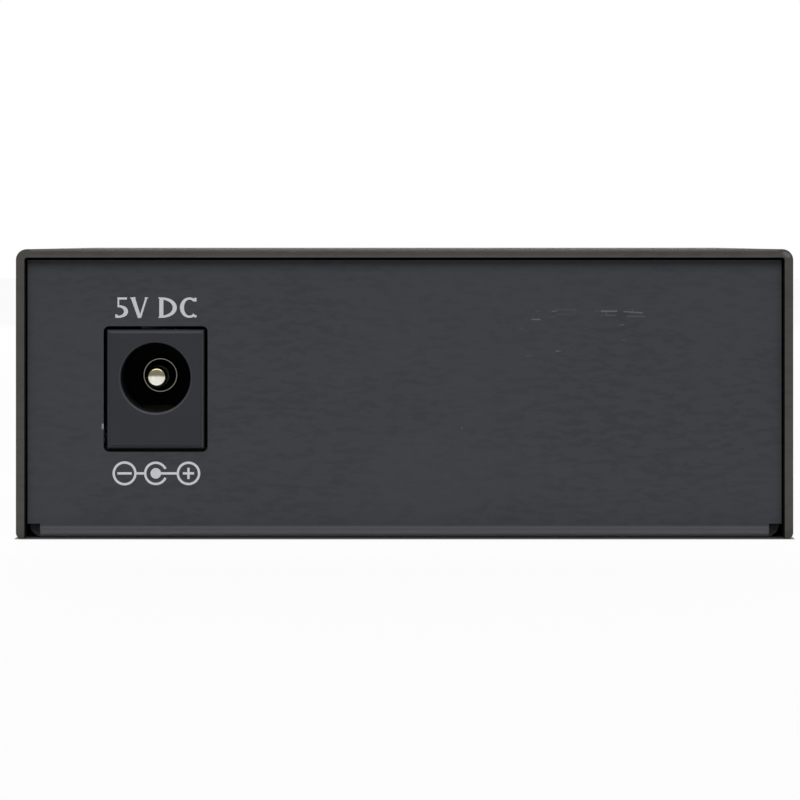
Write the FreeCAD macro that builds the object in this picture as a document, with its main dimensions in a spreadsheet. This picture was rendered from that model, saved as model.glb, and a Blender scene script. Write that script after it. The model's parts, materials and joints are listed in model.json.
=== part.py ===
import FreeCAD, Part
import os
import re
import Sketcher

# Fibre media converter: a small sheet-steel box that turns copper Ethernet into light in a fibre.
#
# Frame: millimetres, origin under the middle of the box, +X to the right when the power side faces the
# viewer, +Y from the power side to the port side, +Z up.  The box rests on z = 0.
#
# Every driving size is a cell of the spreadsheet "Sizes".  Each sub-part is a PartDesign body whose sketches,
# features and placement are bound to those cells, so the document can be resized from the spreadsheet.

Vector = FreeCAD.Vector
document = FreeCAD.newDocument("FibreMediaConverter")

SIZES = {
    # Case: outer size, sheet thicknesses, inner bend radii
    "case_width": 71.5,
    "case_length": 94.0,
    "case_height": 26.6,
    "cover_sheet": 0.8,
    "cover_bend": 0.2,
    "cover_foot_round": 0.5,
    "tray_sheet": 0.8,
    "tray_bend": 0.3,
    # How the folded tray sits inside the cover
    "panel_recess": 1.0,
    "panel_side_gap": 0.2,
    "panel_top_gap": 0.2,
    "flange_gap": 0.3,
    "flange_height": 9.0,
    "flange_start": 1.9,
    "relief_width": 1.15,
    "relief_height": 1.3,
    # Ventilation slots in both sides of the cover
    "vent_count": 12,
    "vent_spacing": 3.4,
    "vent_width": 1.4,
    "vent_length": 9.0,
    "vent_height": 16.5,
    # Countersunk screws that hold the cover to the tray's side flanges
    "cover_screw_inset": 13.0,
    "cover_screw_radius": 1.5,
    "cover_screw_length": 4.0,
    "cover_screw_head": 1.0,
    "cover_screw_headroom": 0.2,
    "screw_sink": 0.05,
    "screw_fit": 0.03,
    # Circuit board, its standoffs and screws
    "board_thickness": 1.6,
    "board_side_gap": 0.65,
    "board_end_gap": 0.6,
    "board_corner": 1.0,
    "standoff_height": 5.8,
    "standoff_flats": 5.0,
    "standoff_head_flats": 6.0,
    "standoff_side": 4.0,
    "standoff_rear": 19.0,
    "standoff_front": 27.5,
    "board_screw_radius": 1.5,
    "board_screw_length": 6.0,
    "board_screw_head": 2.7,
    "board_screw_rise": 1.9,
    "lead_drop": 1.1,
    "hole_fit": 0.12,
    "seat_fit": 0.03,
    "cut_over": 1.0,
    # Power jack, on the power side
    "jack_from_side": 12.8,
    "jack_proud": 0.15,
    "jack_width": 9.0,
    "jack_height": 11.0,
    "jack_front": 3.4,
    "jack_length": 14.4,
    "jack_chamfer": 0.3,
    "jack_barrel": 4.0,
    "jack_bore_radius": 3.22,
    "jack_bore_height": 6.55,
    "jack_bore_depth": 9.6,
    "jack_bore_lip": 0.15,
    "jack_cut_gap": 0.3,
    "jack_cut_corner": 0.5,
    "jack_pin_radius": 1.0,
    "jack_pin_inset": 1.8,
    "jack_pin_round": 0.45,
    "jack_shoulder": 1.7,
    "jack_shoulder_depth": 0.9,
    "jack_shank": 0.8,
    "jack_strip": 0.45,
    "jack_tip_width": 3.0,
    "jack_spring_width": 2.8,
    "jack_spring_sheet": 0.3,
    "jack_spring_rise": 0.55,
    "jack_spring_leg": 8.0,
    "jack_spring_reach": 3.4,
    "jack_spring_bend": 2.5,
    "jack_switch_start": 9.5,
    "jack_switch_width": 2.5,
    "jack_switch_rise": 5.0,
    # Copper port: shielded modular jack
    "copper_proud": 0.6,
    "copper_width": 16.0,
    "copper_height": 13.4,
    "copper_length": 21.3,
    "copper_sheet": 0.25,
    "copper_window_margin": 0.4,
    "copper_leg_start": 8.0,
    "copper_leg_width": 1.6,
    "copper_tongue_rise": 0.2,
    "copper_tongue_width": 2.4,
    "copper_tongue_start": 2.0,
    "copper_tongue_length": 2.6,
    "copper_tongue_spread": 3.9,
    "tongue_fit": 0.05,
    "cavity_width": 11.9,
    "cavity_roof": 2.2,
    "cavity_height": 6.9,
    "cavity_depth": 13.0,
    "latch_width": 6.4,
    "latch_drop": 1.6,
    "latch_slot_width": 3.4,
    "latch_slot_drop": 0.9,
    "peg_radius": 1.6,
    "peg_spread": 11.43,
    "peg_depth": 11.4,
    "contact_count": 8,
    "contact_spacing": 1.02,
    "contact_width": 0.4,
    "contact_sheet": 0.3,
    "contact_front": 2.8,
    "contact_tip_depth": 11.0,
    "contact_dip": 2.4,
    "contact_rear": 18.0,
    "contact_groove": 0.6,
    "contact_groove_rise": 1.1,
    # Fibre port: duplex push-pull transceiver
    "fibre_proud": 0.8,
    "fibre_width": 25.4,
    "fibre_height": 11.4,
    "fibre_length": 39.6,
    "fibre_flange": 2.4,
    "fibre_rim": 0.4,
    "socket_spacing": 12.7,
    "socket_width": 9.3,
    "socket_height": 7.6,
    "socket_floor": 1.9,
    "socket_depth": 13.5,
    "socket_lip": 0.3,
    "key_width": 3.0,
    "key_rise": 0.8,
    "key_depth": 9.0,
    "sleeve_radius": 2.4,
    "sleeve_bore": 1.25,
    "sleeve_bore_depth": 7.3,
    "sleeve_inset": 4.7,
    "sleeve_seat": 3.4,
    "clip_inset": 4.9,
    "clip_sheet": 0.8,
    "clip_height": 3.4,
    "clip_arm": 3.5,
    "clip_hook": 0.45,
    "clip_hook_length": 1.1,
    "lid_sheet": 0.22,
    "lid_start": 15.0,
    "lid_skirt": 8.0,
    "post_side": 1.5,
    "post_spread": 20.4,
    "post_depth": 11.0,
    "fibre_pin_count": 9,
    "fibre_pin_spacing": 2.54,
    "fibre_pin_side": 0.5,
    "fibre_pin_depth": 36.8,
    # Status lights in a stacked holder
    "led_width": 3.2,
    "led_height": 1.8,
    "led_proud": 0.6,
    "led_chamfer": 0.25,
    "led_seat": 5.0,
    "led_spacing": 3.4,
    "led_first": 2.0,
    "led_holder_width": 4.6,
    "led_holder_depth": 6.0,
    "led_holder_margin": 1.8,
    "led_hole_gap": 0.15,
    "led_lead": 0.45,
    "led_lead_spread": 1.8,
    "led_lead_start": 7.4,
    "led_lead_stagger": 1.1,
    # Mode switch: four sliders in one body
    "slider_count": 4,
    "dip_spacing": 2.54,
    "dip_width": 11.2,
    "dip_height": 9.9,
    "dip_depth": 6.0,
    "panel_clearance": 0.2,
    "knob_width": 1.1,
    "knob_height": 1.6,
    "knob_travel": 1.8,
    "knob_end_gap": 0.15,
    "knob_side_gap": 0.1,
    "knob_sink": 0.2,
    "slider_low": 3.1,
    "slider_face": 1.0,
    "slider_foot": 1.2,
    "slider_foot_margin": 0.35,
    "dip_window_margin": 0.3,
    "dip_window_spread": 0.75,
    "dip_pin": 0.5,
    "dip_pin_front": 1.6,
    "dip_pin_rear": 4.4,
    # Parts soldered to the top of the board
    "chip_side": 10.0,
    "chip_height": 0.9,
    "chip_chamfer": 0.15,
    "chip_ahead": 8.0,
    "memory_width": 3.9,
    "memory_length": 4.9,
    "memory_height": 1.6,
    "memory_side": 14.0,
    "magnetics_width": 12.7,
    "magnetics_length": 7.6,
    "magnetics_height": 5.6,
    "magnetics_gap": 4.4,
    "magnetics_shift": 8.6,
    "lead_reach": 1.1,
    "lead_width": 0.42,
    "lead_sheet": 0.2,
    "lead_spacing": 1.27,
    "regulator_width": 6.5,
    "regulator_length": 3.5,
    "regulator_height": 1.6,
    "regulator_rear": 9.0,
    "crystal_length": 5.0,
    "crystal_width": 3.2,
    "crystal_height": 1.1,
    "crystal_rim": 0.35,
    "crystal_side": 12.0,
    "capacitor_radius": 4.0,
    "capacitor_height": 11.5,
    "capacitor_lead_spread": 3.5,
    "capacitor_lead": 0.5,
    "input_capacitor_rear": 8.0,
    "output_capacitor_from_side": 11.0,
    "output_capacitor_ahead": 11.0,
    "inductor_side_length": 7.3,
    "inductor_height": 4.2,
    "inductor_chamfer": 0.9,
    "inductor_rear": 8.5,
    "fuse_length": 4.5,
    "fuse_width": 3.2,
    "fuse_height": 1.4,
    "fuse_from_side": 11.0,
    "fuse_rear": 9.0,
    "passive_length": 1.6,
    "passive_width": 0.8,
    "passive_height": 0.5,
    "passive_spacing": 2.2,
    "passive_gap": 2.0,
    "passive_count": 5,
}


def write_sizes():
    """Fills the spreadsheet: one named cell for each driving size."""
    table = document.addObject("Spreadsheet::Sheet", "Sizes")
    for row, (name, number) in enumerate(SIZES.items(), start=1):
        table.set("A%d" % row, name)
        table.set("B%d" % row, str(number))
        table.setAlias("B%d" % row, name)
    document.recompute()
    return table


sizes = write_sizes()


def formula(text):
    """A FreeCAD expression: every size name in the text is looked up in the spreadsheet."""
    return re.sub(r"[a-z]+(?:_[a-z]+)+", lambda found: "Sizes." + found.group(0), text)


def number(text):
    """The present value of a formula."""
    result = sizes.evalExpression(formula(text))
    return float(getattr(result, "Value", result))


# Levels and faces that several pieces share, as formulas of the sizes
INNER_HALF = "(case_width / 2 - cover_sheet)"
PANEL_HALF = "(case_width / 2 - cover_sheet - panel_side_gap)"
PANEL_TOP = "(case_height - cover_sheet - panel_top_gap)"
PANEL_FACE = "(case_length / 2 - panel_recess)"
PANEL_BACK = "(case_length / 2 - panel_recess - tray_sheet)"
FLANGE_OUT = "(case_width / 2 - cover_sheet - flange_gap)"
FLANGE_IN = "(case_width / 2 - cover_sheet - flange_gap - tray_sheet)"
FLANGE_END = "(case_length / 2 - panel_recess - flange_start)"
BOARD_HALF_WIDTH = "(case_width / 2 - cover_sheet - flange_gap - tray_sheet - board_side_gap)"
BOARD_HALF_LENGTH = "(case_length / 2 - panel_recess - tray_sheet - board_end_gap)"
BOARD_BOTTOM = "(tray_sheet + standoff_height)"
BOARD_TOP = "(tray_sheet + standoff_height + board_thickness)"
LEAD_LOW = "-(board_thickness + lead_drop)"

# Port side, from right to left as seen from the power side: copper jack, lights, fibre transceiver, mode
# switch.  The board's spare width is shared out evenly between them and at both ends.
PORT_GAP = "((2 * %s - copper_width - led_holder_width - fibre_width - dip_width) / 5)" % BOARD_HALF_WIDTH
COPPER_X = "(%s - %s - copper_width / 2)" % (BOARD_HALF_WIDTH, PORT_GAP)
LED_X = "(%s - copper_width / 2 - %s - led_holder_width / 2)" % (COPPER_X, PORT_GAP)
FIBRE_X = "(%s - led_holder_width / 2 - %s - fibre_width / 2)" % (LED_X, PORT_GAP)
DIP_X = "(%s - fibre_width / 2 - %s - dip_width / 2)" % (FIBRE_X, PORT_GAP)
JACK_X = "(jack_from_side - case_width / 2)"
JACK_Y = "(-%s - jack_proud)" % PANEL_FACE
COPPER_Y = "(%s + copper_proud)" % PANEL_FACE
FIBRE_Y = "(%s + fibre_proud)" % PANEL_FACE
STANDOFF_X = "(%s - standoff_side)" % BOARD_HALF_WIDTH
STANDOFF_REAR_Y = "(standoff_rear - %s)" % PANEL_BACK
STANDOFF_FRONT_Y = "(%s - standoff_front)" % PANEL_BACK
COVER_SCREW_Y = "(case_length / 2 - cover_screw_inset)"

# The cover's screws pass under the leads that stick out of the board
COVER_SCREW_Z = "(%s - lead_drop - cover_screw_headroom - cover_screw_radius)" % BOARD_BOTTOM
SCREW_SEAT = "(cover_screw_radius + cover_screw_head + screw_sink + screw_fit)"

# Supply parts along the power side, evenly spaced between the power jack and the fuse
FUSE_X = "(%s - fuse_from_side)" % BOARD_HALF_WIDTH
SUPPLY_LEFT = "(%s + jack_width / 2)" % JACK_X
SUPPLY_RIGHT = "(%s - fuse_length / 2)" % FUSE_X
SUPPLY_SIZES = "(2 * capacitor_radius + inductor_side_length + regulator_width)"
SUPPLY_GAP = "((%s - %s - %s) / 4)" % (SUPPLY_RIGHT, SUPPLY_LEFT, SUPPLY_SIZES)
INPUT_CAPACITOR_X = "(%s + %s + capacitor_radius)" % (SUPPLY_LEFT, SUPPLY_GAP)
INDUCTOR_X = "(%s + capacitor_radius + %s + inductor_side_length / 2)" % (INPUT_CAPACITOR_X, SUPPLY_GAP)
REGULATOR_X = "(%s - %s - regulator_width / 2)" % (SUPPLY_RIGHT, SUPPLY_GAP)
INPUT_CAPACITOR = (INPUT_CAPACITOR_X, "(input_capacitor_rear - %s)" % BOARD_HALF_LENGTH)
OUTPUT_CAPACITOR = ("(output_capacitor_from_side - %s)" % BOARD_HALF_WIDTH, "(-output_capacitor_ahead)")

# The leftmost slider, from the middle of the mode switch
FIRST_SLIDER = "(-(slider_count - 1) * dip_spacing / 2)"

# Copper jack: its cavity hangs from its top, as the contacts do
CAVITY_CEILING = "(copper_height - cavity_roof)"
CAVITY_FLOOR = "(%s - cavity_height)" % CAVITY_CEILING
LATCH_FLOOR = "(%s - latch_drop)" % CAVITY_FLOOR
LATCH_SLOT_FLOOR = "(%s - latch_slot_drop)" % LATCH_FLOOR


# ---------------------------------------------------------------- outlines drawn in a sketch
def polygon(*points):
    """A closed outline through points, each a pair of formulas."""

    def draw(sketch):
        corners = [Vector(number(across), number(up), 0) for across, up in points]
        first = sketch.GeometryCount
        total = len(corners)
        for i in range(total):
            sketch.addGeometry(Part.LineSegment(corners[i], corners[(i + 1) % total]), False)
        for i in range(total):
            sketch.addConstraint(Sketcher.Constraint("Coincident", first + i, 2, first + (i + 1) % total, 1))
        for i, (across, up) in enumerate(points):
            place_point(sketch, first + i, 1, across, up)

    return draw


def rectangle(left, right, low, high):
    return polygon((left, low), (right, low), (right, high), (left, high))


def square(across, up, side):
    """A square about a centre given by two formulas."""
    return rectangle(
        "%s - %s / 2" % (across, side),
        "%s + %s / 2" % (across, side),
        "%s - %s / 2" % (up, side),
        "%s + %s / 2" % (up, side),
    )


def hexagon(across, up, flats):
    """A regular hexagon about a centre, with two of its sides square to the first direction."""
    half, corner = "%s / 2" % flats, "%s / 2 / cos(30)" % flats
    return polygon(
        ("%s + %s" % (across, half), "%s - %s / 2" % (up, corner)),
        ("%s + %s" % (across, half), "%s + %s / 2" % (up, corner)),
        (across, "%s + %s" % (up, corner)),
        ("%s - %s" % (across, half), "%s + %s / 2" % (up, corner)),
        ("%s - %s" % (across, half), "%s - %s / 2" % (up, corner)),
        (across, "%s - %s" % (up, corner)),
    )


def circle(across, up, radius):
    """A full circle about a centre given by two formulas."""

    def draw(sketch):
        centre = Vector(number(across), number(up), 0)
        index = sketch.addGeometry(Part.Circle(centre, Vector(0, 0, 1), number(radius)), False)
        place_point(sketch, index, 3, across, up)
        bind_constraint(sketch, Sketcher.Constraint("Radius", index, number(radius)), radius)

    return draw


def place_point(sketch, geometry, point, across, up):
    """Fixes a point of the sketch by its two distances from the sketch's origin."""
    for kind, text in (("DistanceX", across), ("DistanceY", up)):
        bind_constraint(sketch, Sketcher.Constraint(kind, -1, 1, geometry, point, number(text)), text)


def bind_constraint(sketch, constraint, text):
    index = sketch.addConstraint(constraint)
    sketch.setExpression("Constraints[%d]" % index, formula(text))


# ---------------------------------------------------------------- one sub-part
PLANES = {"X": "YZ_Plane", "Y": "XZ_Plane", "Z": "XY_Plane"}
pieces = []


class Piece:
    """A sub-part: one PartDesign body, whose own origin can be placed by formulas."""

    def __init__(self, name, x="0", y="0", z="0"):
        self.body = document.addObject("PartDesign::Body", name)
        self.body.Label = name
        for axis, text in zip("xyz", (x, y, z)):
            self.body.setExpression("Placement.Base." + axis, formula(text))
        pieces.append(self.body)

    def sketch(self, axis, level, *outlines):
        """A sketch square to an axis of the body, at a level along that axis."""
        sketch = self.body.newObject("Sketcher::SketchObject", "Outline")
        planes = self.body.Origin.OriginFeatures
        sketch.AttachmentSupport = [(next(f for f in planes if f.Role == PLANES[axis]), "")]
        sketch.MapMode = "FlatFace"
        sign = "-" if axis == "Y" else ""
        sketch.setExpression("AttachmentOffset.Base.z", formula("%s(%s)" % (sign, level)))
        for outline in outlines:
            outline(sketch)
        return sketch

    def extrude(self, kind, axis, low, high, outlines):
        """A Pad or Pocket from level low to level high along the positive axis."""
        feature = self.body.newObject("PartDesign::" + kind, kind)
        feature.Profile = self.sketch(axis, low, *outlines)
        feature.setExpression("Length", formula("(%s) - (%s)" % (high, low)))
        feature.Reversed = (kind == "Pad") == (axis == "Y")
        document.recompute()
        return feature

    def pad(self, axis, low, high, *outlines):
        return self.extrude("Pad", axis, low, high, outlines)

    def pocket(self, axis, low, high, *outlines):
        return self.extrude("Pocket", axis, low, high, outlines)

    def turn(self, axis, across, up, *points):
        """A turned shape about a line along the axis; points are (radius, distance along)."""
        feature = self.body.newObject("PartDesign::Revolution", "Revolution")
        feature.Profile = self.turning_sketch(axis, across, up, points)
        feature.ReferenceAxis = (feature.Profile[0], ["H_Axis" if axis == "X" else "V_Axis"])
        document.recompute()
        return feature

    def groove(self, axis, across, up, *points):
        """The same, cut away."""
        feature = self.body.newObject("PartDesign::Groove", "Groove")
        feature.Profile = self.turning_sketch(axis, across, up, points)
        feature.ReferenceAxis = (feature.Profile[0], ["H_Axis" if axis == "X" else "V_Axis"])
        document.recompute()
        return feature

    def turning_sketch(self, axis, across, up, points):
        """For axis Y the line passes through x = across, z = up; for Z through x, y; for X through y, z."""
        if axis == "X":
            sketch = self.sketch("Z", up, polygon(*((along, radius) for radius, along in points)))
            sketch.setExpression("AttachmentOffset.Base.y", formula(across))
        elif axis == "Y":
            sketch = self.sketch("Z", up, polygon(*points))
            sketch.setExpression("AttachmentOffset.Base.x", formula(across))
        else:
            sketch = self.sketch("Y", up, polygon(*points))
            sketch.setExpression("AttachmentOffset.Base.x", formula(across))
        return sketch

    def hollow(self, wall, *normals):
        """Turns the body into a shell of one wall thickness, open on the sides that the normals name."""
        solid = self.body.Tip
        faces = enumerate(solid.Shape.Faces, start=1)
        open_faces = ["Face%d" % index for index, face in faces if outward(face) in normals]
        feature = self.body.newObject("PartDesign::Thickness", "Thickness")
        feature.Base = (solid, open_faces)
        feature.Reversed = True
        feature.Join = 1
        feature.setExpression("Value", formula(wall))
        document.recompute()
        return feature

    def dress(self, kind, size_name, text, edge_names):
        base = self.body.Tip
        feature = self.body.newObject("PartDesign::" + kind, kind)
        feature.Base = (base, edge_names)
        feature.setExpression(size_name, formula(text))
        document.recompute()
        return feature

    def fillet(self, radius, **where):
        return self.dress("Fillet", "Radius", radius, self.edges(**where))

    def chamfer(self, size, **where):
        return self.dress("Chamfer", "Size", size, self.edges(**where))

    def edges(self, along=None, round_only=False, x=None, y=None, z=None):
        """Names of the edges that run along an axis and whose middle lies at the given places.

        A place is a formula, or a tuple of formulas any of which will do, in the body's own frame.
        """
        wanted = {}
        for name, places in (("x", x), ("y", y), ("z", z)):
            if places is not None:
                wanted[name] = [number(p) for p in (places if isinstance(places, tuple) else (places,))]
        names = []
        for i, edge in enumerate(self.body.Tip.Shape.Edges):
            straight = isinstance(edge.Curve, Part.Line)
            if straight if round_only else (along is not None and not runs_along(edge, along)):
                continue
            middle = edge.BoundBox.Center
            if all(any(abs(getattr(middle, n) - p) < 0.02 for p in places) for n, places in wanted.items()):
                names.append("Edge%d" % (i + 1))
        if not names:
            raise ValueError("%s has no edge there: %s" % (self.body.Label, wanted))
        return names

    def repeat(self, feature, axis, count, pitch):
        """Copies a feature along an axis of its body."""
        pattern = self.body.newObject("PartDesign::LinearPattern", "Pattern")
        pattern.Originals = [feature]
        axes = self.body.Origin.OriginFeatures
        pattern.Direction = (next(f for f in axes if f.Role == axis + "_Axis"), [""])
        pattern.setExpression("Occurrences", formula(count))
        pattern.setExpression("Length", formula("(%s - 1) * %s" % (count, pitch)))
        self.body.Tip = pattern
        document.recompute()
        return pattern

    def mirror(self, axis, *features):
        """Mirrors features in the body's own plane square to an axis."""
        feature = self.body.newObject("PartDesign::Mirrored", "Mirrored")
        feature.Originals = list(features)
        planes = self.body.Origin.OriginFeatures
        feature.MirrorPlane = (next(f for f in planes if f.Role == PLANES[axis]), [""])
        self.body.Tip = feature
        document.recompute()
        return feature


def outward(face):
    """The side that a flat face looks to, such as +Z, or None for a curved or slanting face."""
    if not isinstance(face.Surface, Part.Plane):
        return None
    normal = face.normalAt(0, 0)
    for letter, part in zip("XYZ", normal):
        if abs(part) > 0.999:
            return ("+" if part > 0 else "-") + letter
    return None


def runs_along(edge, axis):
    if not isinstance(edge.Curve, Part.Line):
        return False
    direction = edge.tangentAt(edge.FirstParameter)
    return abs(getattr(direction, axis.lower())) > 0.999


# ---------------------------------------------------------------- case
def top_cover():
    """One sheet folded down over both sides, with vent slots and countersunk screw holes."""
    cover = Piece("top_cover")
    half = "case_width / 2"
    cover.pad("Y", "-case_length / 2", "case_length / 2", rectangle("-" + half, half, "0", "case_height"))
    cover.fillet("cover_bend + cover_sheet", along="Y", z="case_height")
    cover.hollow("cover_sheet", "-Z", "+Y", "-Y")
    cover.fillet("cover_foot_round", along="Y", x=(half, "-" + half), z="0")
    first_vent = "-(vent_count - 1) * vent_spacing / 2"
    vent = cover.pocket(
        "X",
        "-%s - cut_over" % half,
        "%s + cut_over" % half,
        rectangle(
            first_vent + " - vent_width / 2",
            first_vent + " + vent_width / 2",
            "vent_height - vent_length / 2",
            "vent_height + vent_length / 2",
        ),
    )
    cover.repeat(vent, "Y", "vent_count", "vent_spacing")
    for y in ("-" + COVER_SCREW_Y, COVER_SCREW_Y):
        for side in ("-", ""):
            cover.groove(
                "X",
                y,
                COVER_SCREW_Z,
                ("0", "%s(%s)" % (side, half)),
                (SCREW_SEAT, "%s(%s)" % (side, half)),
                (SCREW_SEAT + " - cover_sheet", side + INNER_HALF),
                ("0", side + INNER_HALF),
            )
    return cover


def base_tray():
    """One sheet folded up: floor, two side flanges, and the power and port panels with bend reliefs."""
    tray = Piece("base_tray")
    tray.pad(
        "Y",
        "-" + FLANGE_END,
        FLANGE_END,
        polygon(
            ("-" + FLANGE_OUT, "0"),
            (FLANGE_OUT, "0"),
            (FLANGE_OUT, "flange_height"),
            (FLANGE_IN, "flange_height"),
            (FLANGE_IN, "tray_sheet"),
            ("-" + FLANGE_IN, "tray_sheet"),
            ("-" + FLANGE_IN, "flange_height"),
            ("-" + FLANGE_OUT, "flange_height"),
        ),
    )
    tray.fillet("tray_bend + tray_sheet", along="Y", z="0", x=("-" + FLANGE_OUT, FLANGE_OUT))
    tray.fillet("tray_bend", along="Y", z="tray_sheet", x=("-" + FLANGE_IN, FLANGE_IN))
    for side in ("-", ""):
        tray.pad(
            "X",
            "-" + PANEL_HALF,
            PANEL_HALF,
            polygon(
                (side + PANEL_FACE, "0"),
                (side + FLANGE_END, "0"),
                (side + FLANGE_END, "tray_sheet"),
                (side + PANEL_BACK, "tray_sheet"),
                (side + PANEL_BACK, PANEL_TOP),
                (side + PANEL_FACE, PANEL_TOP),
            ),
        )
    ends = ("-" + PANEL_FACE, PANEL_FACE)
    tray.fillet("tray_bend + tray_sheet", along="X", z="0", y=ends)
    tray.fillet("tray_bend", along="X", z="tray_sheet", y=("-" + PANEL_BACK, PANEL_BACK))
    for low, high in (("-" + PANEL_FACE, "-" + FLANGE_END), (FLANGE_END, PANEL_FACE)):
        for side in ("-", ""):
            inner = "%s(%s - relief_width)" % (side, PANEL_HALF)
            outer = "%s(%s + cut_over)" % (side, PANEL_HALF)
            tray.pocket("Y", low, high, rectangle(inner, outer, "-cut_over", "relief_height"))
    cut_power_panel(tray)
    cut_port_panel(tray)
    for side in ("-", ""):
        for y in (STANDOFF_REAR_Y, STANDOFF_FRONT_Y):
            seat = hexagon(side + STANDOFF_X, y, "(standoff_head_flats + seat_fit)")
            tray.pocket("Z", "-cut_over", "tray_sheet + cut_over", seat)
    places = ("-" + COVER_SCREW_Y, COVER_SCREW_Y)
    holes = [circle(y, COVER_SCREW_Z, "cover_screw_radius + screw_fit") for y in places]
    tray.pocket("X", "-%s - cut_over" % FLANGE_OUT, FLANGE_OUT + " + cut_over", *holes)
    return tray


def cut_power_panel(tray):
    """The rounded window that the power jack looks through."""
    window_half = "(jack_width / 2 + jack_cut_gap)"
    tray.pocket(
        "Y",
        "-%s - cut_over" % PANEL_FACE,
        "-%s + cut_over" % PANEL_BACK,
        rectangle(
            "%s - %s" % (JACK_X, window_half),
            "%s + %s" % (JACK_X, window_half),
            "%s - jack_cut_gap" % BOARD_TOP,
            "%s + jack_height + jack_cut_gap" % BOARD_TOP,
        ),
    )
    tray.fillet(
        "jack_cut_corner",
        along="Y",
        x=("%s - %s" % (JACK_X, window_half), "%s + %s" % (JACK_X, window_half)),
        z=("%s - jack_cut_gap" % BOARD_TOP, "%s + jack_height + jack_cut_gap" % BOARD_TOP),
    )


def cut_port_panel(tray):
    """Windows for the copper jack, the fibre transceiver and the mode switch, and a hole for each light."""
    low = PANEL_BACK + " - cut_over"
    high = PANEL_FACE + " + cut_over"
    copper_half = "(copper_width / 2 + copper_tongue_rise + tongue_fit)"
    fibre_half = "(fibre_width / 2 + panel_clearance)"
    tray.pocket(
        "Y",
        low,
        high,
        rectangle(
            "%s - %s" % (COPPER_X, copper_half),
            "%s + %s" % (COPPER_X, copper_half),
            "%s - panel_clearance" % BOARD_TOP,
            "%s + copper_height + copper_tongue_rise + tongue_fit" % BOARD_TOP,
        ),
        rectangle(
            "%s - %s" % (FIBRE_X, fibre_half),
            "%s + %s" % (FIBRE_X, fibre_half),
            "%s - panel_clearance" % BOARD_TOP,
            "%s + fibre_height + panel_clearance" % BOARD_TOP,
        ),
        rectangle(
            "%s + %s - dip_window_spread - dip_window_margin" % (DIP_X, FIRST_SLIDER),
            "%s - %s + dip_window_spread + dip_window_margin" % (DIP_X, FIRST_SLIDER),
            "%s + slider_low - dip_window_margin" % BOARD_TOP,
            "%s + slider_low + knob_height + knob_travel + 2 * knob_end_gap + dip_window_margin" % BOARD_TOP,
        ),
    )
    tray.pocket(
        "Y",
        low,
        high,
        *(
            light_outline(LED_X, "%s + led_first + %d * led_spacing" % (BOARD_TOP, i), "led_hole_gap")
            for i in range(len(LED_NAMES))
        ),
    )


def cover_screws():
    """Four countersunk screws, flush with the cover's sides, threaded into the tray's side flanges."""
    screws = Piece("cover_screws")
    outer = "(case_width / 2 - screw_sink)"
    for side in ("-", ""):
        for y in ("-" + COVER_SCREW_Y, COVER_SCREW_Y):
            screws.turn(
                "X",
                y,
                COVER_SCREW_Z,
                ("0", side + outer),
                ("cover_screw_radius + cover_screw_head", side + outer),
                ("cover_screw_radius", "%s(%s - cover_screw_head)" % (side, outer)),
                ("cover_screw_radius", "%s(%s - cover_screw_length)" % (side, outer)),
                ("0", "%s(%s - cover_screw_length)" % (side, outer)),
            )
    return screws


# ---------------------------------------------------------------- circuit board and its fixings
def circuit_board():
    """The board, with a hole for every screw, peg and lead that passes through it."""
    board = Piece("circuit_board")
    board.pad(
        "Z",
        BOARD_BOTTOM,
        BOARD_TOP,
        rectangle("-" + BOARD_HALF_WIDTH, BOARD_HALF_WIDTH, "-" + BOARD_HALF_LENGTH, BOARD_HALF_LENGTH),
    )
    board.chamfer("board_corner", along="Z")
    low = BOARD_BOTTOM + " - cut_over"
    high = BOARD_TOP + " + cut_over"
    round_holes = [
        circle(side + STANDOFF_X, STANDOFF_REAR_Y, "board_screw_radius + hole_fit") for side in ("-", "")
    ]
    post_holes = []
    for side in (-1, 1):
        peg = "%s + %s * peg_spread / 2" % (COPPER_X, side)
        post = "%s + %s * post_spread / 2" % (FIBRE_X, side)
        round_holes.append(circle(peg, COPPER_Y + " - peg_depth", "peg_radius + hole_fit"))
        post_holes.append(square(post, FIBRE_Y + " - post_depth", "(post_side + 2 * hole_fit)"))
    board.pocket("Z", low, high, *round_holes, *post_holes)
    board.pocket("Z", low, high, *power_jack_slots(), *copper_leg_slots(), *light_slots(), *capacitor_slots())

    contact_x = "%s - (contact_count - 1) * contact_spacing / 2" % COPPER_X
    contact = board.pocket(
        "Z",
        low,
        high,
        board_slot(
            contact_x + " - contact_width / 2",
            contact_x + " + contact_width / 2",
            "%s - contact_rear - contact_sheet" % COPPER_Y,
            "%s - contact_rear" % COPPER_Y,
        ),
    )
    board.repeat(contact, "X", "contact_count", "contact_spacing")
    pin = board.pocket(
        "Z",
        low,
        high,
        square(
            "%s - (fibre_pin_count - 1) * fibre_pin_spacing / 2" % FIBRE_X,
            "%s - fibre_pin_depth" % FIBRE_Y,
            "(fibre_pin_side + 2 * hole_fit)",
        ),
    )
    board.repeat(pin, "X", "fibre_pin_count", "fibre_pin_spacing")
    for row in ("dip_pin_front", "dip_pin_rear"):
        x = "%s + %s" % (DIP_X, FIRST_SLIDER)
        y = "%s - panel_clearance - %s" % (PANEL_BACK, row)
        outline = board_slot(x + " - dip_pin / 3", x + " + dip_pin / 3", y + " - dip_pin", y)
        slot = board.pocket("Z", low, high, outline)
        board.repeat(slot, "X", "slider_count", "dip_spacing")
    return board


def board_slot(left, right, low, high):
    """A slot in the board that clears a flat terminal by the hole fit all round."""
    return rectangle(left + " - hole_fit", right + " + hole_fit", low + " - hole_fit", high + " + hole_fit")


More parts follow.
